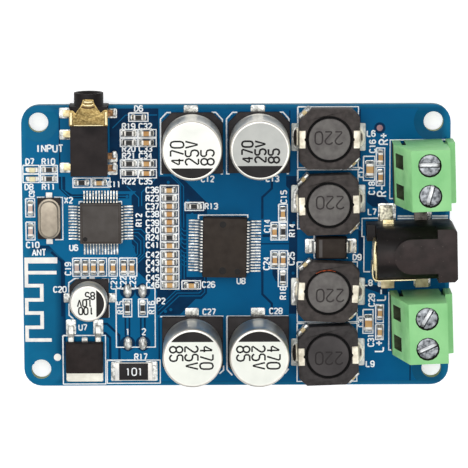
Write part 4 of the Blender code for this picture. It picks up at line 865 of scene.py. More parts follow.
# %% [markdown]
# ## Legend ink
#
# White epoxy ink is screened over the mask: a box round each part, a corner mark for a big one, and a
# letter with a number beside it. The ink lies in lines about 0.25 mm wide that blur at their edges, which
# a pen with a rounded side does well. The numbers are this model's own: each letter simply counts up.

# %% Legend boxes
INK_LOW, INK_TOP = BOARD_TOP + 0.006, BOARD_TOP + 0.044
BOX_PEN, LETTER_PEN, SIGN_PEN = 0.25, 0.23, 0.26


def ladder(x0, y0, x1, y1, rungs, axis):
    """A box with dividing lines at the given places on one axis."""
    bars = [[(x0, at), (x1, at)] if axis == "y" else [(at, y0), (at, y1)] for at in rungs]
    return [framed(x0, y0, x1, y1), *bars]


BOXES = [
    (-17.95, 22.65, -14.75, 21.25), (-27.4, 11.65, -24.4, 10.1), (-24.2, 11.65, -21.2, 10.1),
    (-35.4, 8.2, -33.9, 5.1), (-35.4, 4.2, -33.9, 1.15), (-8.6, 7.45, -5.5, 6.1),
    (-9.2, -5.95, -6.05, -7.35), (7.15, 7.1, 8.6, 4.2), (5.85, 4.0, 7.2, 1.0), (7.3, 4.0, 8.6, 1.0),
    (5.85, -0.85, 7.15, -3.9), (7.25, -0.85, 8.65, -3.9), (7.1, -4.0, 8.6, -7.0),
    (21.4, 15.2, 23.3, 11.1), (23.55, 16.6, 24.95, 13.6), (23.55, 13.3, 24.95, 10.2),
    (21.45, -11.0, 23.15, -15.1), (23.6, -10.2, 24.9, -13.3), (23.6, -13.6, 24.9, -16.2),
    (-21.5, -2.0, -20.1, -5.1), (-29.4, -15.3, -22.2, -23.7), (-21.95, -19.6, -12.95, -23.6),
    (-20.35, -7.2, -13.75, -17.35), (-19.15, -9.05, -17.7, -12.1), (-16.55, -9.05, -15.05, -12.1),
    (10.35, 23.6, 20.5, 13.3), (10.35, 12.95, 20.5, 2.9), (10.3, -2.8, 20.45, -13.1),
    (10.3, -13.35, 20.45, -23.4),
]
BOXES += [(x0, y0, x1, y0 - 1.4) for y0 in (13.85, 12.35) for x0, x1 in ((-35.8, -33.1), (-32.85, -30.0))]
LADDERS = [
    (-12.75, 10.35, -9.7, -0.4, (8.85, 7.5, 6.1, 4.8, 3.45, 2.1, 0.75), "y"),
    (-12.75, -0.8, -9.7, -7.35, (-2.15, -3.5, -4.75, -6.05), "y"),
    (-27.6, -2.0, -21.9, -5.1, (-26.2, -24.8, -23.35), "x"), (-19.7, -2.0, -16.8, -5.1, (-18.3,), "x"),
]
LADDERS += [(-19.4, y0, -13.4, y1, (-16.45,), "x")
            for y0, y1 in ((19.85, 18.55), (18.35, 17.0), (14.75, 13.45), (13.1, 11.65))]
boxes = [framed(*box) for box in BOXES] + [line for row in LADDERS for line in ladder(*row)]

marks = [
    [(-33.5, 8.4), (-32.2, 8.4)], [(-30.6, 8.4), (-29.2, 8.4), (-29.2, 1.2), (-30.5, 1.2)],
    [(-26.4, 7.2), (-26.4, 7.65), (-25.8, 7.65)], [(-19.9, 7.65), (-19.3, 7.65), (-19.3, 7.1)],
    [(-19.3, 1.2), (-19.3, 0.7), (-19.6, 0.5)],
    [(-10.9, 22.7), (-11.6, 22.7), (-12.65, 21.6), (-12.65, 12.3), (-12.3, 12.3)],
    [(-4.1, 22.7), (-3.4, 22.7), (-2.3, 21.5), (-2.3, 20.9)], [(-2.6, 12.3), (-2.3, 12.3), (-2.3, 13.0)],
    [(0.2, 22.7), (-0.6, 22.7), (-1.6, 21.6), (-1.6, 12.3), (-1.1, 12.3)],
    [(7.3, 22.7), (7.9, 22.7), (8.85, 21.6), (8.85, 20.9)], [(8.5, 12.3), (8.85, 12.3)],
    [(-12.9, -12.1), (-8.7, -12.1)], [(-6.3, -12.1), (-2.2, -12.1)],
    [(-2.2, -20.6), (-2.2, -21.4), (-2.9, -22.0)], [(-1.6, -12.1), (2.4, -12.1)],
    [(4.8, -12.1), (8.8, -12.1)], [(-1.6, -12.1), (-1.6, -21.3), (-0.7, -22.3)],
    [(8.85, -21.2), (8.2, -22.0)], [(-28.3, -7.9), (-28.3, -6.2), (-27.3, -5.5), (-26.6, -5.5)],
    [(-26.2, -5.4), (-25.3, -5.4)], [(-24.8, -5.4), (-23.9, -5.4)],
    [(-22.7, -5.6), (-21.6, -5.6), (-21.6, -6.2)], [(-28.3, -9.8), (-28.3, -11.8), (-27.6, -12.4)],
    [(-21.6, -10.0), (-21.6, -12.2)], [(13.15, -1.0), (13.15, -2.1), (18.8, -2.1)],
    [(13.15, 1.2), (13.15, 1.9)], [(-6.35, 4.6), (-6.35, 5.3), (1.95, 5.3), (1.95, 4.8)],
    [(24.0, 4.65), (21.2, 4.65), (21.2, 1.55), (21.55, 1.55), (21.55, -4.5), (22.6, -4.5)],
    [(27.2, 5.0), (30.1, 5.0)], [(33.0, 5.0), (35.7, 5.0)], [(27.2, 4.6), (30.1, 4.6)],
    [(33.0, 4.6), (35.7, 4.6)], [(35.6, 17.95), (25.85, 17.95), (25.85, 8.0), (26.5, 8.0)],
    [(25.85, -8.0), (25.85, -18.0), (26.3, -18.0)],
]
legend = [pen(boxes + marks, BOX_PEN, INK_LOW, INK_TOP)]
print("legend lines:", len(boxes) + len(marks))

# %% [markdown]
# Letters stand beside the parts they belong to. A table holds the letter, the place and the turn, in the
# order of the board's corners.

# %% Legend letters
counters = {"C": 9, "R": 9, "D": 5, "L": 5, "U": 5, "X": 1, "P": 1}


def designator(letter):
    """The next unused number of a letter."""
    counters[letter] += 1
    return f"{letter}{counters[letter]}"


TIGHT_X = 21.05
LABELS = [
    ("D", -16.3, 23.4, 0), ("D", -34.6, 14.5, 0), ("D", -34.8, 10.2, 0), ("R", -31.5, 14.5, 0),
    ("R", -31.5, 10.2, 0), ("X", -28.2, 7.9, 0), ("C", -34.3, 0.3, 0), ("C", -20.5, 10.6, 0),
    ("U", -27.4, -0.2, 0), ("R", -16.4, 4.5, 90), ("C", -4.8, 11.45, 0), ("C", 6.1, 11.45, 0),
    ("R", -4.2, 6.8, 0), ("C", 5.2, 3.4, 90), ("R", 9.4, 2.65, 90), ("C", 8.0, 8.35, 90),
    ("L", 22.65, 19.05, 0), ("C", 22.9, 16.9, 90), ("C", TIGHT_X, 12.5, 90), ("C", 22.8, 9.8, 90),
    ("L", 22.9, 5.75, 0), ("C", -28.4, -3.8, 90), ("C", -29.8, -7.35, 0), ("C", -20.7, -6.25, 90),
    ("C", -19.1, -6.25, 90), ("C", -17.5, -6.25, 90), ("P", -12.75, -9.4, 0), ("R", -19.65, -10.5, 90),
    ("R", -14.35, -10.5, 90), ("U", -26.0, -13.9, 0), ("R", -16.2, -19.0, 0), ("C", 5.1, -3.0, 90),
    ("C", 9.3, -2.2, 90), ("R", 7.9, -8.1, 90), ("C", -4.7, -6.6, 0), ("U", 0.8, -6.0, 0),
    ("C", -4.6, -11.3, 0), ("C", 6.7, -11.2, 0), ("D", 20.4, -2.0, 0), ("L", 22.3, -6.4, 0),
    ("C", 22.9, -9.4, 90), ("C", TIGHT_X, -13.1, 90), ("C", 22.8, -16.3, 90), ("L", 22.7, -20.4, 0),
]
LABELS += [(letter, x, y, 0) for letter, x in (("R", -18.0), ("C", -15.2))
           for y in (20.4, 16.6, 15.4, 11.1)]
column = zip("CRCCCCRCCCCCC", (9.6, 8.2, 6.8, 5.5, 4.0, 2.75, 1.5, 0.2, -1.45, -2.8, -4.0, -5.4, -6.6))
LABELS += [(letter, -14.1, y, 0) for letter, y in column]
LABEL_HEIGHT, TIGHT_HEIGHT = 0.95, 0.76

strokes = []
for letter, x, y, turn in LABELS:
    height = TIGHT_HEIGHT if x == TIGHT_X else LABEL_HEIGHT
    strokes += lettering(designator(letter), x, y, height, turn, 0.88)
for text, x, y, turn in (("1", -18.4, -14.7, 0), ("2", -15.7, -14.7, 0), ("ANT", -33.25, -1.0, 0)):
    strokes += lettering(text, x, y, 1.05, turn, 0.85)
strokes += lettering("C9", -34.35, 9.0, 0.8, 90, 0.8)
legend.append(pen(strokes, LETTER_PEN, INK_LOW, INK_TOP))
signs = lettering("INPUT", -31.3, 16.7, 1.15, 0, 0.9)
for text, x, y in (("R+", 24.75, 18.15), ("R-", 24.5, 9.35), ("L-", 24.5, -8.5), ("L+", 24.2, -17.35)):
    signs += lettering(text, x, y, 1.45, 90, 0.8)
legend.append(pen(signs, SIGN_PEN, INK_LOW, INK_TOP))
piece("legend", gathered(legend), [legend_ink])

# %% [markdown]
# ## Aerial, marks and bare copper
#
# The folded aerial is a copper track that was left open and tinned. It is one pen path with square turns.
# The two round targets by the corners are for the machine that places the parts.

# %% Aerial and targets
AERIAL_WIDTH = 0.6


def ribbon(path, width):
    """The outline of a path drawn with a flat nib, its corners mitred."""
    sides = []
    for sign in (1, -1):
        line = []
        for count, (x, y) in enumerate(path):
            here = Vector((x, y))
            normals = []
            for other in path[max(count - 1, 0):count + 2]:
                step = (Vector(other) - here) * (1 if path.index(other) > count else -1)
                if step.length:
                    normals.append(Vector((-step.y, step.x)).normalized())
            total = sum(normals, Vector((0, 0)))
            across = total / total.length_squared * len(normals)
            line.append(tuple(here + across * sign * width / 2))
        sides.append(line)
    return sides[0] + sides[1][::-1]


aerial_path = [
    (-30.3, -2.35), (-35.45, -2.35), (-35.45, -6.68), (-32.88, -6.68), (-32.88, -9.12), (-35.45, -9.12),
    (-35.45, -11.38), (-32.88, -11.38), (-32.88, -13.85), (-35.45, -13.85), (-35.45, -16.05),
    (-31.3, -16.05),
]
AERIAL_TOP = BOARD_TOP + 0.03
aerial = [plate(ribbon(aerial_path, AERIAL_WIDTH), BOARD_TOP - 0.02, AERIAL_TOP),
          block((-35.74, -2.86, BOARD_TOP - 0.02), (-30.2, -1.85, AERIAL_TOP + 0.002)),
          block((-35.3, -4.75, BOARD_TOP - 0.02), (-30.35, -4.15, AERIAL_TOP + 0.003)),
          plate(ring_of(-30.35, -19.05, 0.62, 20), BOARD_TOP, AERIAL_TOP)]
piece("aerial", gathered(aerial), [bright_tin])
targets = [inked(plate(ring_of(24.1, 20.0, 0.95, 24), BOARD_TOP, POUR_TOP + 0.006), 1),
           plate(ring_of(24.1, 20.0, 0.52, 20), BOARD_TOP, BOARD_TOP + 0.03)]
piece("placing_target", gathered(targets), [bare_copper, mask_channel_and_shadow])

# %% [markdown]
# ## Solder
#
# Every part sits on tinned pads. A pad is a thin plate whose solder has flowed into a dome, so it is
# bevelled nearly over its whole width. The long ones under the sockets and blocks carry most of the
# bright spots. A solder link is a dull dome with painted highlights: smaller domes of brighter solder on
# it, each given by its shift, half its width, half its depth and its height.

# %% Pads
BEAD_ARC = [(0, 1.0), (0.4, 0.92), (0.72, 0.68), (0.92, 0.35), (1.0, 0.0)]
BEAD_HIGHLIGHTS = [
    (0.02, 0.02, 0.52, 1.12, 0.45), (-0.16, 0.5, 0.4, 0.62, 0.47), (0.16, 0.42, 0.36, 0.66, 0.46),
]


def pad(x0, y0, x1, y1, height=0.14, dome=0.1):
    """A tinned pad between two corners with its solder domed up."""
    x0, x1, y0, y1 = min(x0, x1), max(x0, x1), min(y0, y1), max(y0, y1)
    radius = min(0.25, (x1 - x0) / 3, (y1 - y0) / 3)
    return softened(plate(rounded(x0, y0, x1, y1, radius, 3), BOARD_TOP, BOARD_TOP + height), dome, 2, 60)


socket_pads = [
    (-29.6, 21.8, -27.6, 23.6), (-29.6, 18.2, -27.6, 19.9), (-29.6, 12.6, -27.8, 14.3),
    (-21.6, 21.8, -19.9, 23.4), (-21.6, 14.3, -19.9, 15.9), (-21.6, 12.2, -19.9, 14.1),
]
can_pads = [
    (-8.75, 22.55, -6.35, 23.95), (2.45, 22.55, 4.85, 23.95), (-8.65, -10.6, -6.35, -12.1),
    (2.45, -10.6, 4.85, -12.1), (-29.2, -8.0, -27.6, -9.6), (-22.0, -8.0, -20.4, -9.6),
    (-8.65, 11.5, -6.35, 12.9), (2.5, 11.5, 4.8, 12.9), (-8.65, -22.3, -6.35, -23.7),
    (2.45, -22.3, 4.85, -23.7),
]
jack_pads = [
    (30.2, 4.2, 32.9, 7.1), (23.9, 3.5, 26.9, 7.2), (23.9, -5.4, 26.7, -7.1), (30.0, -5.4, 32.8, -7.1),
]
regulator_pads = [
    (-28.85, -12.5, -27.15, -15.2), (-24.25, -12.5, -22.55, -15.2), (-28.9, -19.0, -22.6, -23.3),
]
diode_pads = [(11.6, -1.3, 13.4, 1.2), (18.4, -1.3, 20.3, 1.2)]
shunt_pads = [(-21.3, -19.8, -19.3, -23.2), (-15.5, -19.8, -13.4, -23.2)]
crystal_pads = [(-31.9, 7.7, -31.0, 9.0), (-32.0, 0.75, -30.9, 2.0)]
small_pads = [
    (-35.35, 12.75, -34.7, 13.5), (-33.75, 12.75, -33.15, 13.5), (-35.35, 11.2, -34.7, 11.95),
    (-33.75, 11.2, -33.15, 11.95),
]
link_places = [(x, y) for x in (-18.4, -15.85) for y in (-7.7, -16.7)]
pads = [pad(*place) for place in socket_pads + can_pads + regulator_pads + diode_pads + shunt_pads]
pads += [pad(*place, height=0.06, dome=0.03) for place in jack_pads]
pads += [pad(*place, height=0.09, dome=0.05) for place in crystal_pads + small_pads]
beads = []


def bead(x, y, wide, deep, high):
    """A long dome of solder, given by half its width, half its depth and its height."""
    dome = spun(BEAD_ARC, 24)
    bmesh.ops.scale(dome, vec=(wide, deep, high), verts=dome.verts)
    return moved(dome, x, y, BOARD_TOP)


def oval(x, y, wide, deep, low, high, steps):
    """An oval plate, given by half its width and half its depth."""
    return plate([(x + wide * px, y + deep * py) for px, py in ring_of(0, 0, 1.0, steps)], low, high)


# Each link: a dull dome, its painted highlights in brighter solder, and a ring of mask round it.
for x, y in link_places:
    beads.append(inked(bead(x, y, 0.76, 1.2, 0.4), 1))
    beads += [inked(bead(x + dx, y + dy, wide, deep, high), 0) for dx, dy, wide, deep, high in BEAD_HIGHLIGHTS]
    beads.append(inked(oval(x, y, 0.93, 1.38, BOARD_TOP, POUR_TOP + 0.006, 32), 2))
piece("tinned_pads", gathered(pads), [solder])
piece("link_beads", gathered(beads), [bright_solder_and_highlights, solder, mask_channel_and_shadow])

# %% [markdown]
# Beside the inductors the solder has not filled the pads evenly. On the left it stands in banks round a
# hollow. Beside two of them the hollow holds a dark oval of painted dark reflection, and beside the others
# it is bright. The banks are raised solder in a bright finish that paints their highlights. On the right
# the solder swells outward in a bright bank of painted highlight round a plate of painted shade. The
# table holds each row's y, the x of its hollow and whether it is a dark one.

# %% Inductor pads
CHOKE_COLUMNS, CHOKE_PAD_HALF = ((9.25, 10.9), (20.0, 21.75)), 2.35
HOLLOWS = {18.5: (10.0, True), 8.05: (9.95, False), -7.85: (9.85, False), -18.3: (9.86, True)}
SWELL_X = 20.1
DARK_RIM = [(0.4, 1.62), (-0.1, 1.5), (-0.44, 0.9), (-0.5, -0.3), (-0.42, -1.2), (0, -1.75), (0.4, -1.85)]
BRIGHT_RIM = [(0.5, 1.75), (0.1, 1.3), (-0.1, 0.4), (-0.12, -0.8), (0.1, -1.6)]
BRIGHT_TAIL = [(-0.2, -1.2), (-0.3, -2.0)]
SWELL = [(0, 1.75), (0.845, 1.35), (1.3, 0.4), (1.3, -0.5), (0.91, -1.4), (0, -1.8)]
SHADE = [(0, -1.3), (1.3, -0.45), (1.3, 0.35), (0, 1.3)]


def around(points, x, y):
    """Points given from a middle, shifted to their place."""
    return [(x + dx, y + dy) for dx, dy in points]


def bank(points, width, high, slot):
    """A rounded bank of solder along a line of points."""
    return inked(pen([points], width, BOARD_TOP + 0.05, BOARD_TOP + high, 3), slot)


choke_tin = []
for y, (x, dark) in HOLLOWS.items():
    for x0, x1 in CHOKE_COLUMNS:
        choke_tin.append(inked(pad(x0, y - CHOKE_PAD_HALF, x1, y + CHOKE_PAD_HALF), 0))
    # Dark rows: a painted dark reflection in the hollow, ringed by a thin bank of painted highlight. Other
    # rows: wide banks of painted highlight.
    if dark:
        choke_tin.append(inked(oval(x, y - 0.1, 0.36, 1.42, BOARD_TOP + 0.04, BOARD_TOP + 0.2, 28), 3))
        choke_tin.append(bank(around(DARK_RIM, x, y), 0.26, 0.3, 4))
    else:
        choke_tin.append(bank(around(BRIGHT_RIM, x, y), 0.62, 0.32, 4))
        choke_tin.append(bank(around(BRIGHT_TAIL, x, y), 0.4, 0.25, 4))
    # On the right: a bank of painted highlight round a plate of painted shade.
    choke_tin.append(bank(around(SWELL, SWELL_X, y), 0.42, 0.3, 1))
    choke_tin.append(inked(plate(around(SHADE, SWELL_X, y), BOARD_TOP + 0.04, BOARD_TOP + 0.17), 2))
piece("inductor_pads", gathered(choke_tin), [pad_tin, tab_tin, dark_tin, painted_dark_reflection, bright_solder_and_highlights])

# %% [markdown]
# A package with many leads has a comb of narrow pads along its sides, one under each lead.

# %% Fine pads
LEAD_PITCH, FINE_PAD_HALF = 0.5, 0.15
FOUR_SIDES, TWO_SIDES = (0, 90, 180, 270), (0, 180)


def comb_pads(node, side_reach, foot, count, turn, sides):
    """The row of narrow pads along the sides of a package."""
    row = []
    for side in sides:
        for number in range(count):
            along = (number - (count - 1) / 2) * LEAD_PITCH
            low = (side_reach - foot, along - FINE_PAD_HALF, BOARD_TOP)
            high = (side_reach + 0.95, along + FINE_PAD_HALF, BOARD_TOP + 0.06)
            row.append(moved(softened(block(low, high), 0.03, 1), turn=side + turn))
    return placed(row, node)


piece("fine_pads", gathered([comb_pads("receiver_chip", 4.5, 0.7, 12, 0, FOUR_SIDES),
                             comb_pads("amplifier_chip", 5.15, 0.9, 18, -1.0, TWO_SIDES)]), [solder])

# %% [markdown]
# ## Small ceramic chips
#
# A chip capacitor is a fired block of ceramic dipped in tin at both ends; a chip resistor is a white
# alumina tile with a black film. Both are soldered with a hollow fillet at each end. There are about
# fifty, so one small shape of each kind is repeated, and the ceramic's colour drifts from part to part
# through the noise.

# %% Chips and their fillets
CHIP_SIZES = {"C": (1.6, 0.8, 0.8), "P": (1.6, 0.8, 0.8), "R": (1.6, 0.8, 0.45), "K": (2.0, 1.25, 1.0)}
CAP_SHARE, TILE_CAP_SHARE = 0.37 / 1.6, 0.3 / 1.6


def chip(kind):
    """A chip lying along X on its pads: slots 0 body, 1 end caps, 2 solder, 3 tile."""
    long, wide, tall = CHIP_SIZES[kind]
    cap = (TILE_CAP_SHARE if kind == "R" else CAP_SHARE) * long
    half, side, top = long / 2, wide / 2, SEAT + tall
    parts = []
    if kind == "R":
        tile = block((-half + 0.05, -side, SEAT), (half - 0.05, side, top - 0.06))
        film = block((-half + cap, -side + 0.04, top - 0.08), (half - cap, side - 0.04, top))
        parts += [inked(tile, 3), inked(softened(film, 0.02, 1), 0)]
    else:
        body = block((-half + 0.05, -side + 0.02, SEAT + 0.02), (half - 0.05, side - 0.02, top - 0.02))
        parts.append(inked(softened(body, 0.06, 1), 0))
    for end, turn in ((-1, 180), (1, 0)):
        x0, x1 = sorted((end * half, end * (half - cap)))
        parts.append(inked(softened(block((x0, -side, SEAT), (x1, side, top)), 0.08, 2), 1))
        reach = half + 0.42
        hollow = [(half - 0.05, 0), (reach, 0), (half + 0.16, tall * 0.26), (half - 0.05, tall * 0.62)]
        fillet = moved(plate(hollow, -side - 0.03, side + 0.03), z=BOARD_TOP, turn=90, axis="X")
        foot = pad(half - 0.3, -side - 0.12, reach + 0.08, side + 0.12, 0.05, 0.025)
        parts += [inked(moved(fillet, turn=turn), 2), inked(moved(foot, turn=turn), 2)]
    return gathered(parts)


CHIP_PLACES = [
    ("R", -16.35, 21.90, 0), ("R", -25.95, 10.90, 0), ("C", -23.00, 10.90, 0), ("R", -31.40, 13.12, 0),
    ("R", -31.40, 11.58, 0), ("P", -34.60, 6.60, 90), ("P", -34.60, 2.70, 90), ("R", -7.10, 6.80, 0),
    ("C", -7.60, -6.70, 0), ("C", 7.85, 5.50, 90), ("C", 6.45, 2.45, 90), ("R", 7.90, 2.45, 90),
    ("C", 6.50, -2.40, 90), ("C", 7.90, -2.40, 90), ("R", 7.85, -5.50, 90), ("C", 24.25, 15.05, 90),
    ("C", 24.25, 11.70, 90), ("C", 24.30, -11.55, 90), ("C", 24.30, -14.85, 90), ("K", 22.45, 13.05, 90),
    ("K", 22.35, -13.30, 90), ("R", -18.45, -10.55, 90), ("R", -15.85, -10.55, 90),
]
CHIP_PLACES += [(kind, -11.25, 9.60 - 1.35 * count, 0) for count, kind in enumerate("CRCCCCRC")]
CHIP_PLACES += [("C", -11.25, -1.42 - 1.30 * count, 0) for count in range(5)]
CHIP_PLACES += [("C", x, -3.6, 90) for x in (-25.5, -24.1, -22.7, -20.8, -19.0, -17.6)]
CHIP_PLACES.append(("P", -26.9, -3.6, 90))
CHIP_PLACES += [(kind, x, y, 0) for y in (19.2, 17.65, 14.1, 12.5)
                for kind, x in (("R", -17.95), ("C", -15.05))]

templates = {kind: chip(kind) for kind in "CPRK"}
for name, kinds, body in (("capacitor_chips", "CK", ceramic_tan), ("resistor_chips", "R", resistor_black),
                          ("pale_capacitor_chips", "P", ceramic_pink)):
    rows = [moved(templates[kind].copy(), x, y, 0, turn)
            for kind, x, y, turn in CHIP_PLACES if kind in kinds]
    piece(name, gathered(rows), [body, bright_tin, solder, alumina])

# %% [markdown]
# ## Packages with bent leads
#
# Black epoxy is moulded round a lead frame, and the leads are then stamped and bent down like a gull's
# wing. The moulding tool opens at the height of the leads, so the sides slope both ways from there. The
# body is two tapered halves; a lead is its side view raised to its width. Their tops stay bare.

# %% Gull-wing packages


def moulded_body(width, depth, low, waist, high, slope=0.12):
    """An epoxy body whose sides slope away from its parting line."""
    halves = []
    for z0, z1 in ((waist, low), (waist, high)):
        outline = rounded(-width / 2, -depth / 2, width / 2, depth / 2, 0.12, 1)
        half = plate(outline, min(z0, z1), max(z0, z1))
        far = [vert for vert in half.verts if abs(vert.co.z - z1) < 1e-4]
        bmesh.ops.scale(half, vec=(1 - 2 * slope / width, 1 - 2 * slope / depth, 1), verts=far)
        halves.append(softened(half, 0.07, 2, 50))
    return gathered(halves)


def gull_lead(inner, outer, height, thickness, width):
    """A lead from the body's side at a height, down to a flat foot that ends at the outer reach."""
    foot = outer - (outer - inner) * 0.5
    knee = inner + (outer - inner) * 0.28
    side = [(inner - 0.3, height), (knee, height), (foot, thickness), (outer, thickness), (outer, 0),
            (foot - thickness * 0.6, 0), (knee - thickness * 0.4, height - thickness),
            (inner - 0.3, height - thickness)]
    shape = moved(plate(side, -width / 2, width / 2), turn=90, axis="X")
    return softened(moved(shape, z=SEAT - 0.02), thickness * 0.3, 1, 50)


def package(node, width, depth, tall, reach, count, sides, turn, lead_width, dimples):
    """A gull-wing package at a frame node's place: slots 0 epoxy, 1 leads, 2 dimples."""
    body = moulded_body(width, depth, SEAT + 0.02, SEAT + tall * 0.5, SEAT + tall)
    parts = [inked(moved(body, turn=turn), 0)]
    for side in sides:
        inner = (width if side % 180 == 0 else depth) / 2
        template = gull_lead(inner - 0.02, reach / 2, tall * 0.5, 0.16, lead_width)
        for number in range(count):
            along = (number - (count - 1) / 2) * LEAD_PITCH
            parts.append(inked(moved(moved(template.copy(), y=along), turn=side + turn), 1))
    for x, y, radius in dimples:
        ring = [(0, 0.004), (radius * 0.8, 0.004), (radius, 0.012), (radius * 1.12, 0.0),
                (radius * 1.12, -0.05)]
        parts.append(inked(moved(moved(spun(ring, 20), x, y, SEAT + tall), turn=turn), 2))
    return placed(parts, node)


dimple_finish = moulded("ejector_dimple", (24, 21, 20), (15, 13, 13), 0.4)
receiver = package("receiver_chip", 7.0, 7.0, 1.5, 9.0, 12, FOUR_SIDES, 0, 0.28, [(-2.6, -2.6, 0.35)])
piece("receiver_package", receiver, [receiver_epoxy, lead_tin, dimple_finish], replaces=["receiver_chip"])
# The receiver's face is a shallow tray inside a fine raised border.
border = pen([framed(-3.1, -3.1, 3.1, 3.1)], 0.2, SEAT + 1.4, SEAT + 1.53)
piece("receiver_border", placed([border], "receiver_chip"), [epoxy])
amplifier = package("amplifier_chip", 7.5, 10.3, 2.3, 10.3, 18, TWO_SIDES, -1.0, 0.31,
                    [(-0.35, 4.0, 0.5), (-0.3, -3.9, 0.55), (2.2, -4.0, 0.45)])
piece("amplifier_package", amplifier, [epoxy, lead_tin, dimple_finish], replaces=["amplifier_chip"])

# %% [markdown]
# ## Electrolytic cans
#
# The can is a drawn aluminium cup, crimped over its rubber plug: a rolled groove low down, a round
# shoulder and a flat printed top. All of that is one profile spun about the axis. The black segment on
# the top marks the negative side, and the numbers beside it are plain ratings.

# %% Spun cans and their print
PRINT_LIFT, CAN_SHOULDER, GROOVE_HEIGHT = 0.012, 0.42, 1.35


def can_body(radius, low, high):
    """A can's outside: curled foot, rolled groove, straight wall, round shoulder and flat top."""
    groove = low + GROOVE_HEIGHT
    profile = [(0, low), (radius - 0.35, low), (radius - 0.1, low + 0.12), (radius, low + 0.4),
               (radius, groove - 0.42), (radius - 0.14, groove - 0.24), (radius - 0.3, groove),
               (radius - 0.14, groove + 0.24), (radius, groove + 0.42)]
    for step in range(7):
        angle = math.radians(90 * step / 6)
        profile.append((radius - CAN_SHOULDER * (1 - math.cos(angle)),
                        high - CAN_SHOULDER * (1 - math.sin(angle))))
    profile += [(radius - CAN_SHOULDER - 0.1, high - 0.03), (0, high - 0.03)]
    return spun(profile, 72)


def chord_segment(radius, chord, towards):
    """The part of a disc beyond a chord, on the side that an angle in degrees points to."""
    half = math.acos(chord / radius)
    steps = 28
    angles = [math.radians(towards) + half * (2 * step / steps - 1) for step in range(steps + 1)]
    return [(radius * math.cos(angle), radius * math.sin(angle)) for angle in angles]


def can(number, radius, chord, towards, lines, turn, height, stroke, squeeze, top, ring=0.42):
    """A can with its print: slots 0 wall, 1 top, 2 segment, 3 numbers."""
    node = f"capacitor_{number}_can"
    low, high = corners(node)
    top_z = high.z - 0.02
    face = radius - ring
    disc = softened(plate(ring_of(0, 0, face, 64), top_z - 0.06, top_z), 0.015, 1, 60)
    segment = plate(chord_segment(face - 0.06, chord, towards), top_z - 0.03, top_z + PRINT_LIFT)
    strokes = []
    for text, dx, dy in lines:
        strokes += lettering(text, dx, dy, height, turn, squeeze)
    numbers = pen(strokes, stroke, top_z - 0.02, top_z + PRINT_LIFT)
    layers = (can_body(radius, low.z, high.z - 0.01), disc, segment, numbers)
    layers = [inked(layer, slot) for slot, layer in enumerate(layers)]
    piece(f"can_{number}", placed(layers, node), [can_side, top, print_black, print_ink], replaces=[node])
    base = softened(frame_copy(f"capacitor_{number}_base"), 0.12, 2)
    piece(f"can_base_{number}", base, [base_black], replaces=[f"capacitor_{number}_base"])


FIRST_PRINT = [("470", -2.44, -0.35), ("25V", 0.0, -0.35), ("85", 2.55, -1.04)]
GREY_PRINT = [("470", -2.09, -0.22), ("25V", 0.06, -0.22), ("85", 2.26, -0.9)]
WARM_PRINT = [("470", 2.33, 0.17), ("25V", -0.17, 0.17), ("85", -2.7, 0.8)]
SMALL_PRINT = [("100", -0.37, -1.23), ("10V", -0.57, 0.1), ("85", 0.33, 1.34)]
can(1, 5.0, 2.85, -90, FIRST_PRINT, 90, 2.15, 0.34, 0.73, can_top)
can(2, 5.0, 2.55, -90, GREY_PRINT, 90, 1.78, 0.38, 0.8, can_top_grey)
for count in (3, 4):
    can(count, 5.0, 2.8, 90, WARM_PRINT, 270, 2.15, 0.35, 0.73, can_top_warm)
can(5, 3.15, 1.36, 0, SMALL_PRINT, 180, 1.2, 0.29, 0.8, can_top, 0.4)

# %% [markdown]
# ## Power inductors
#
# A ferrite drum carries the winding and sits in a square ferrite shield with clipped corners. Glue fills
# the thin dark gap between them. Two folded clips hold the shield to the base and are also its solder
# ends. A table gives each one the place of its code on the drum and the turn of its shield. Through the
# gap of one of them two turns of bare copper show.

# %% Shields, drums and clips
SHIELD_REACH, SHIELD_HEIGHT, GAP_RADIUS = 5.05, 3.88, 3.9
CLIP_WIDTH, WIRE_END_AT, NOTCH_AT = 3.0, SHIELD_REACH - 0.98, SHIELD_REACH - 1.16
SEEN_WINDING, OILED = 3, 4
CODE_OFFSETS = {1: (-0.12, 0.24, 0), 2: (0.17, 0.45, 2), 3: (0.3, -0.5, -3.2), 4: (0.12, -0.4, 1.9)}


def shield_outline(reach, big, small):
    """A square with clipped corners: the big clips are where the wire ends come out."""
    return [(-reach + small, -reach), (reach - big, -reach), (reach, -reach + big), (reach, reach - small),
            (reach - small, reach), (-reach + big, reach), (-reach, reach - big), (-reach, -reach + small)]


def clip_part():
    """One folded clip on the +X side: a strip from the foot up the wall, bent over the top, with a notch."""
    strip = [(0.25, 0), (0.25, 0.16), (-0.03, 0.16), (-0.03, 3.95), (-0.2, 4.02), (-1.15, 3.99),
             (-1.15, 3.9), (-0.25, 3.9), (-0.14, 3.85), (-0.14, 0.0)]
    side_view = plate(around(strip, SHIELD_REACH + 0.1, 0), -CLIP_WIDTH / 2, CLIP_WIDTH / 2)
    return softened(moved(side_view, z=SEAT, turn=90, axis="X"), 0.05, 1, 50)


def at_corner(shape, side):
    """A shape turned along the clipped corner where a wire end comes out, on one side of the shield."""
    return moved(moved(shape, WIRE_END_AT, -WIRE_END_AT, turn=45), turn=side)


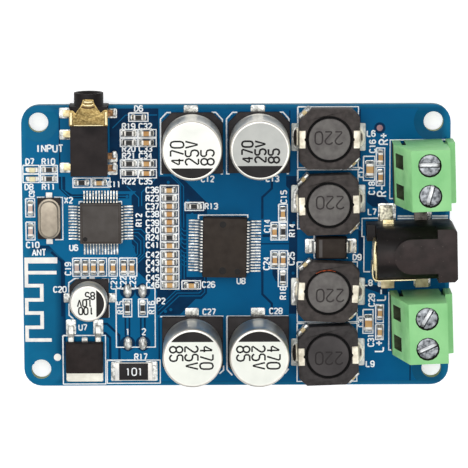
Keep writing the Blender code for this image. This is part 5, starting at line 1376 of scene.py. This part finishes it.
def shield(number, turn):
    """A shield with its clips, wire ends and solder stains: slots 0 to 4."""
    walls = sheet([shield_outline(SHIELD_REACH, 2.1, 1.3), ring_of(0, 0, GAP_RADIUS, 56)], SEAT + 0.9,
                  SEAT + SHIELD_HEIGHT)
    foot = plate(shield_outline(SHIELD_REACH - 0.25, 2.0, 1.3), SEAT, SEAT + 0.95)
    parts = [inked(softened(walls, 0.13, 2, 40), 0), inked(softened(foot, 0.12, 2, 40), 0)]
    for side in TWO_SIDES:
        strap = softened(block((-1.4, -0.55, SEAT + 0.4), (1.25, 0.35, SEAT + 2.2)), 0.3, 3)
        stain = softened(block((-0.55, -0.5, SEAT + 0.3), (0.35, 0.46, SEAT + 2.26)), 0.2, 2)
        notch = plate(ring_of(NOTCH_AT, 0, 0.3, 14), SEAT + 3.85, SEAT + 4.035)
        parts += [inked(moved(clip_part(), turn=side), 1), inked(at_corner(stain, side), 2),
                  inked(at_corner(strap, side), 3), inked(moved(notch, turn=side), 4)]
    node = f"inductor_{number}_shield"
    shell = placed([moved(gathered(parts), turn=turn)], f"inductor_{number}_drum")
    skin = oiled_shield if number == OILED else ferrite
    piece(f"shield_{number}", shell, [skin, clip_metal, wire_cream, solder, gap_black], replaces=[node])


def drum(number, dx, dy):
    """A drum with the glue round it and its code: slots 0, 1 and 2."""
    node = f"inductor_{number}_drum"
    low, top = corners(node)[0].z, corners(node)[1].z
    core = spun([(0, low), (3.4, low), (3.4, low + 0.4), (1.9, low + 0.5), (1.9, top - 0.95),
                 (3.4, top - 0.85), (3.46, top - 0.75), (3.46, top - 0.1), (3.38, top - 0.02),
                 (0, top - 0.02)], 56)
    glue = spun([(3.3, top - 0.8), (3.3, top - 0.5), (3.62, top - 0.45), (4.0, top - 0.5),
                 (4.0, top - 0.8)], 56)
    code = pen(lettering("220", dx, dy, 2.1, 180, 0.87), 0.26, top - 0.04, top + 0.006)
    face, mark = (oiled_ferrite, oiled_mark) if number == OILED else (drum_ferrite, drum_mark)
    layers = [inked(core, 0), inked(glue, 1), inked(code, 2)]
    piece(f"drum_{number}", placed(layers, node), [face, gap_black, mark], replaces=[node])


for number, (dx, dy, turn) in CODE_OFFSETS.items():
    shield(number, turn)
    drum(number, dx, dy)

seen_drum = f"inductor_{SEEN_WINDING}_drum"
seen_top = corners(seen_drum)[1].z
arcs = []
for radius, start, end in ((3.78, 78, 124), (3.68, 70, 104)):
    angles = [math.radians(start + (end - start) * step / 12) for step in range(13)]
    line = [(radius * math.cos(angle), radius * math.sin(angle)) for angle in angles]
    arcs.append(softened(plate(ribbon(line, 0.09), seen_top - 0.6, seen_top - 0.4), 0.02, 1, 40))
piece("outer_turns", placed(arcs, seen_drum), [wire_copper])

# %% [markdown]
# ## Other parts on the board
#
# The rectifier, the regulator with its metal tab, the crystal, the shunt resistor and the two indicators.

# %% Small parts
REGULATOR_AT = (-25.72, -18.85)
diode = [inked(moulded_body(5.3, 3.9, SEAT + 0.02, SEAT + 1.1, SEAT + 2.2, 0.3), 0)]
for side in TWO_SIDES:
    diode.append(inked(moved(gull_lead(2.6, 3.75, 1.0, 0.22, 2.0), turn=side), 1))
band = plate([(-2.05, -1.5), (-1.5, -1.5), (-1.5, 1.5), (-2.05, 1.5)], SEAT + 2.15, SEAT + 2.21)
diode.append(inked(band, 2))
diode_band = moulded("diode_band", (92, 88, 86), (76, 72, 70), 0.5)
piece("rectifier", placed(diode, "rectifier_diode"), [epoxy, lead_tin, diode_band],
      replaces=["rectifier_diode"])

piece("regulator_tab_tin", softened(frame_copy("regulator_tab"), 0.1, 2), [tab_tin],
      replaces=["regulator_tab"])
regulator = [inked(moulded_body(6.4, 5.4, SEAT + 0.02, SEAT + 1.0, SEAT + 2.2, 0.16), 0)]
for x in (-2.28, 2.32):
    leg = moved(gull_lead(2.62, 5.3, 1.05, 0.34, 1.0), turn=90)
    regulator.append(inked(moved(leg, x), 1))
regulator.append(inked(softened(block((-0.45, 2.6, SEAT + 0.75), (0.55, 3.3, SEAT + 1.15)), 0.08, 2), 1))
piece("regulator_package", moved(gathered(regulator), *REGULATOR_AT), [regulator_epoxy, lead_tin],
      replaces=["regulator_body"])

crystal_foot = [inked(softened(block((-33.4, 1.37, SEAT), (-29.5, 8.37, 2.15)), 0.1, 2), 0)]
for y0, y1 in ((0.47, 1.6), (8.14, 9.27)):
    end = block((-32.0, y0, SEAT - 0.02), (-30.9, y1, SEAT + 0.2))
    crystal_foot.append(inked(softened(end, 0.08, 2), 1))
piece("crystal_foot", gathered(crystal_foot), [base_black, bright_tin], replaces=["crystal_base"])
low, high = corners("crystal_can")
half_x, half_y = half_sizes("crystal_can")
rim_outline = rounded(-half_x, -half_y, half_x, half_y, half_x - 0.02, 8)
rim = softened(plate(rim_outline, low.z, low.z + 0.3), 0.08, 2)
lid_x, lid_y = half_x - 0.28, half_y - 0.28
lid_outline = rounded(-lid_x, -lid_y, lid_x, lid_y, half_x - 0.3, 8)
lid = softened(plate(lid_outline, low.z + 0.2, high.z - 0.005), 0.3, 4)
piece("crystal_lid_metal", placed([rim, lid], "crystal_can"), [crystal_lid], replaces=["crystal_can"])

tall = corners("current_resistor")[1].z
half_x, half_y = half_sizes("current_resistor")
tile = softened(block((-half_x + 0.1, -half_y, SEAT), (half_x - 0.1, half_y, tall - 0.06)), 0.04, 1)
film = block((-half_x + 0.7, -half_y + 0.12, tall - 0.1), (half_x - 0.7, half_y - 0.12, tall))
shunt = [inked(tile, 0), inked(softened(film, 0.04, 2), 1)]
for side in (-1, 1):
    x0, x1 = sorted((side * half_x, side * (half_x - 0.75)))
    shunt.append(inked(softened(block((x0, -half_y, SEAT), (x1, half_y, tall - 0.02)), 0.08, 2), 2))
shunt.append(inked(pen(lettering("101", 0.1, 0, 1.25, 0, 0.9), 0.26, tall - 0.03, tall + 0.012), 3))
piece("shunt_resistor", placed(shunt, "current_resistor"), [alumina, print_black, bright_tin, legend_ink],
      replaces=["current_resistor"])

for number in (1, 2):
    node = f"indicator_led_{number}"
    low, high = corners(node)
    half_x, half_y = half_sizes(node)
    tile = inked(softened(block((-half_x, -half_y, low.z), (half_x, half_y, low.z + 0.3)), 0.03, 1), 0)
    dome = block((-half_x + 0.32, -half_y, low.z + 0.25), (half_x - 0.32, half_y, high.z))
    parts = [tile, inked(softened(dome, 0.1, 2), 1)]
    for side in (-0.86, 0.86):
        end = block((side * half_x - 0.2, -half_y, low.z), (side * half_x + 0.2, half_y, low.z + 0.34))
        parts.append(inked(softened(end, 0.05, 1), 2))
    piece(f"indicator_{number}", placed(parts, node), [alumina, led_lens, bright_tin], replaces=[node])

# %% [markdown]
# ## Screw terminals
#
# The blocks are moulded nylon with a wire mouth in front, a screw well on top and a dovetail at one side
# for joining more of them. The frame's own shape is exact, so it is taken over and only its edges are
# rounded. The screws ride on their own bodies: each turns in its well and lifts the steel cage that
# clamps the wire.

# %% Terminal blocks and their screws
BLOCK_TOP, BLOCK_SLANT_Z, BLOCK_BACK, BLOCK_TOP_BACK, BLOCK_HALF = 15.0, 6.25, 5.4, 3.0, 5.08
BLOCK_PLACES = {"right_terminal": (31.65, 12.97, 1.8), "left_terminal": (31.43, -12.59, 2.0)}
HIDDEN_DEPTH, FRONT_X, WELLS_FROM = 0.12, 3.2, SEAT + 2
SLOPE_FROM, SLOPE_TO = 0.15, 0.85


def well_faces(shape, x, y, turn):
    """Slot 1, painted shade, for wells and windows deeper than the block's outer walls; slot 2, painted
    light, for slopes.
    """
    slant = Vector((BLOCK_TOP - BLOCK_SLANT_Z, -(BLOCK_BACK - BLOCK_TOP_BACK))).normalized()
    back = Matrix.Rotation(math.radians(-turn), 3, "Z")
    for face in shape.faces:
        at = back @ (face.calc_center_median() - Vector((x, y, 0)))
        from_slant = slant.x * (at.x + BLOCK_BACK) + slant.y * (at.z - BLOCK_SLANT_Z)
        depth = min(BLOCK_TOP - at.z, BLOCK_HALF - abs(at.y), from_slant)
        hidden = depth > HIDDEN_DEPTH and at.x < FRONT_X and at.z > WELLS_FROM
        face.material_index = 1 if hidden else 2 * (SLOPE_FROM < face.normal.z < SLOPE_TO)
    return shape


def slot_faces(shape, top):
    """Slot 1 for the floor of a screw's slot."""
    for face in shape.faces:
        face.material_index = int(face.normal.z > 0.9 and face.calc_center_median().z < top - 0.2)
    return shape


for side, (x, y, turn) in BLOCK_PLACES.items():
    housing = f"{side}_housing"
    block_copy = well_faces(softened(frame_copy(housing), 0.12, 2, 35), x, y, turn)
    piece(f"{side}_block", block_copy, [terminal_green, well_shadow, slope_painted_light], replaces=[housing])
    for number in (1, 2):
        screw, cage, contact = (f"{side}_{part}_{number}" for part in ("screw", "cage", "contact"))
        head = slot_faces(softened(frame_copy(screw), 0.09, 2, 35), corners(screw)[1].z)
        piece(f"{screw}_plated", head, [zinc, slot_zinc], body=screw, replaces=[screw])
        piece(f"{cage}_steel", softened(frame_copy(cage), 0.06, 1), [steel], body=cage, replaces=[cage])
        piece(f"{contact}_tinned", softened(frame_copy(contact), 0.03, 1), [lead_tin], replaces=[contact])

# %% [markdown]
# ## Sockets
#
# The power socket is one block of black plastic with a barrel bore; brass springs in it end in the tinned
# strips beside it. The audio socket's nose wears a folded brass shell, and its flat feet lie on the pads.

# %% Power and audio sockets
FOOT_TOP, SHELL_SPLIT_X = SEAT + 0.55, -23


def two_finishes(node, name, radius, finishes, slot_of):
    """A frame node taken over with soft edges and cut at y 0, with a finish for each part of it."""
    shape = frame_copy(node)
    if corners(node)[0].y < 0 < corners(node)[1].y and len(finishes) > 1:
        bmesh.ops.bisect_plane(shape, geom=[*shape.verts, *shape.edges, *shape.faces], plane_co=(0, 0, 0),
                               plane_no=(0, 1, 0))
    shape = softened(shape, radius, 2, 35)
    for face in shape.faces:
        face.material_index = int(slot_of(face.calc_center_median()))
    piece(name, shape, finishes, replaces=[node])


def whole(at):
    """One finish for every face."""
    return False


def is_foot(at):
    """Slot 1 for a soldered foot."""
    return at.z < FOOT_TOP


def beyond_middle(at):
    """Slot 1 for the half beyond y 0."""
    return at.y > 0


def shell_foot(at):
    """Slots 1 and 2 for the shell's feet, on the right and on the left."""
    return is_foot(at) * (1 if at.x > SHELL_SPLIT_X else 2)


for node, finishes, radius, slot_of in (
        ("power_socket_housing", [power_black], 0.14, whole),
        ("audio_socket_housing", [audio_black], 0.1, whole),
        ("power_socket_centre_pin", [lead_tin], 0.05, whole),
        ("power_socket_rear_strip", [brass, foot_cream], 0.04, is_foot),
        ("power_socket_sleeve_spring", [foot_cream, dark_tin], 0.04, beyond_middle),
        ("power_socket_switch_contact", [brass, foot_tin], 0.12, is_foot),
        ("audio_socket_shell", [gold, stained_tin, cream_tin], 0.05, shell_foot),
        ("audio_socket_ring_contact", [cream_tin], 0.03, whole),
        ("audio_socket_tip_contact", [cream_tin], 0.03, whole),
        ("audio_socket_ring_switch", [stained_tin], 0.03, whole),
        ("audio_socket_tip_switch", [stained_tin], 0.03, whole)):
    two_finishes(node, f"{node}_finished", radius, finishes, slot_of)

# %% [markdown]
# The shell's top has a tongue with two rolled ribs, folded sides and a rear edge. The ribs, the sides and
# the rear edge are drawn in a brighter brass as painted highlights, and brown lines under and between the
# ribs and along the folds are painted shade. The spring of the power socket bows out behind the barrel
# and wraps round its side. Both are easiest as flat outlines.

# %% Shell tongue and bowed spring
SHELL_TOP, SHELL_BACK_Y, SHELL_MID_X = 6.8, 21.15, -24.55
tongue = [
    (-3.2, 0.0), (3.2, 0.0), (3.2, 2.65), (2.75, 2.7), (2.0, 2.15), (1.2, 3.45), (0.85, 4.15),
    (0.45, 4.45), (-0.45, 4.45), (-0.9, 4.15), (-1.25, 3.3), (-2.15, 2.0), (-2.65, 2.55), (-3.2, 2.55),
]
ribs = [[(-0.7, 4.02), (0.0, 3.95), (0.7, 4.02)], [(-0.9, 3.62), (-0.45, 3.42), (0.45, 3.42), (0.9, 3.62)]]
rib_shadow_lines = [[(-1.1, 3.25), (-0.5, 3.02), (0.5, 3.02), (1.1, 3.25)]]
shade_lines = [
    [(2.66, 0.1), (2.66, 2.3)], [(-2.58, 0.1), (-2.58, 2.2)], [(-0.8, 3.82), (0.0, 3.72), (0.8, 3.82)],
]
sides = [[(-2.88, 0.22), (-2.88, 2.2)], [(2.94, 0.22), (2.94, 2.3)]]
rear_highlight = [[(-2.4, 0.1), (2.45, 0.1)]]
shell_top = [inked(softened(plate(tongue, SHELL_TOP - 0.14, SHELL_TOP), 0.05, 2, 30), 0)]
# Brass on the ribs, sides and rear edge is painted highlight; the brown lines are painted shade.
for lines, width, below, above, rounds, slot in (
        (ribs, 0.32, 0.16, 0.12, 3, 1), (rib_shadow_lines, 0.34, 0.05, 0.03, 1, 2), (shade_lines, 0.1, 0.05, 0.02, 1, 2),
        (sides, 0.46, 0.1, 0.04, 1, 1), (rear_highlight, 0.2, 0.1, 0.035, 1, 1)):
    shell_top.append(inked(pen(lines, width, SHELL_TOP - below, SHELL_TOP + above, rounds), slot))
painted_shade_brown = moulded("painted_shade_brown", (96, 70, 40), (70, 50, 30), 0.5)
piece("audio_shell_top", moved(gathered(shell_top), SHELL_MID_X, SHELL_BACK_Y), [gold, brass, painted_shade_brown])

spots = []
for node in ("audio_socket_ring_switch", "audio_socket_tip_switch"):
    low, high = corners(node)
    spots.append((high.x - 0.62, low.y + 0.2, high.x + 0.12, high.y - 0.15))
shell_side = corners("audio_socket_shell")[1].x
spots.append((shell_side - 0.5, 22.2, shell_side + 0.1, 23.5))
foot_solder = [softened(block((x0, y0, SEAT + 0.02), (x1, y1, SEAT + 0.5)), 0.2, 3)
               for x0, y0, x1, y1 in spots]
piece("socket_foot_solder", gathered(foot_solder), [bright_solder_and_highlights])

bow = [(23.12, 2.1), (22.98, 1.2), (22.9, 0.0), (22.9, -1.6), (23.0, -2.9)]
wrap = [
    (22.62, -1.8), (22.6, -3.4), (22.7, -4.1), (22.98, -4.45), (23.5, -4.58), (26.6, -4.5), (29.8, -4.42),
]
spring_bow = [softened(plate(ribbon(bow, 0.42), 5.4, 9.92), 0.12, 3, 40),
              softened(plate(ribbon(wrap, 0.2), 5.4, 9.86), 0.06, 2, 40)]
spring_bow.append(softened(block((24.35, 3.95, 6.9), (26.2, 5.35, 7.3)), 0.12, 3))
spring_bow.append(softened(block((24.3, 4.55, 7.1), (26.25, 4.8, 7.6)), 0.1, 3))
piece("power_spring_bow", gathered(spring_bow), [brass])

# %% [markdown]
# The windings stay as the frame made them and only get the enamelled wire finish.

# %% Windings
for number in CODE_OFFSETS:
    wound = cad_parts[f"inductor_{number}_winding"]
    for slot in wound.material_slots:
        slot.material = winding.material

# %% [markdown]
# ## The underside
#
# Only the terminal pins come through, each in a cone of solder. The rest is a wide ground pour under the
# mask, with the vias that stitch both sides together.

# %% Underside pour and joints
UNDER_POUR = [
    (-32.1, 17.0), (-35.2, 15.0), (-35.2, 0.2), (-29.2, 0.2), (-29.2, -23.2), (29.0, -23.2),
    (29.0, -19.0), (35.2, -16.5), (35.2, 16.5), (29.0, 19.0), (29.0, 23.2), (-29.0, 23.2), (-29.0, 19.0),
]
JOINT = [(0, -1.15), (0.42, -1.1), (0.55, -0.75), (0.8, -0.3), (1.1, -0.03), (1.1, 0.02)]
rings = [sheet([ring_of(x, y, 1.9, 28)], -0.017, 0.0) for x, y in pin_places]
joints = [moved(spun(JOINT, 24), x, y) for x, y in pin_places] + vias(-0.03, 0.0)
piece("underside_pour", sheet([UNDER_POUR], -0.014, 0.02), [mask_on_copper])
piece("underside_rings", gathered(rings), [mask_channel_and_shadow])
piece("underside_joints", gathered(joints), [solder])

# %% [markdown]
# ## Closing
#
# The script ends by printing how many pieces it made.

# %% Count of pieces
print("pieces:", len(pieces))
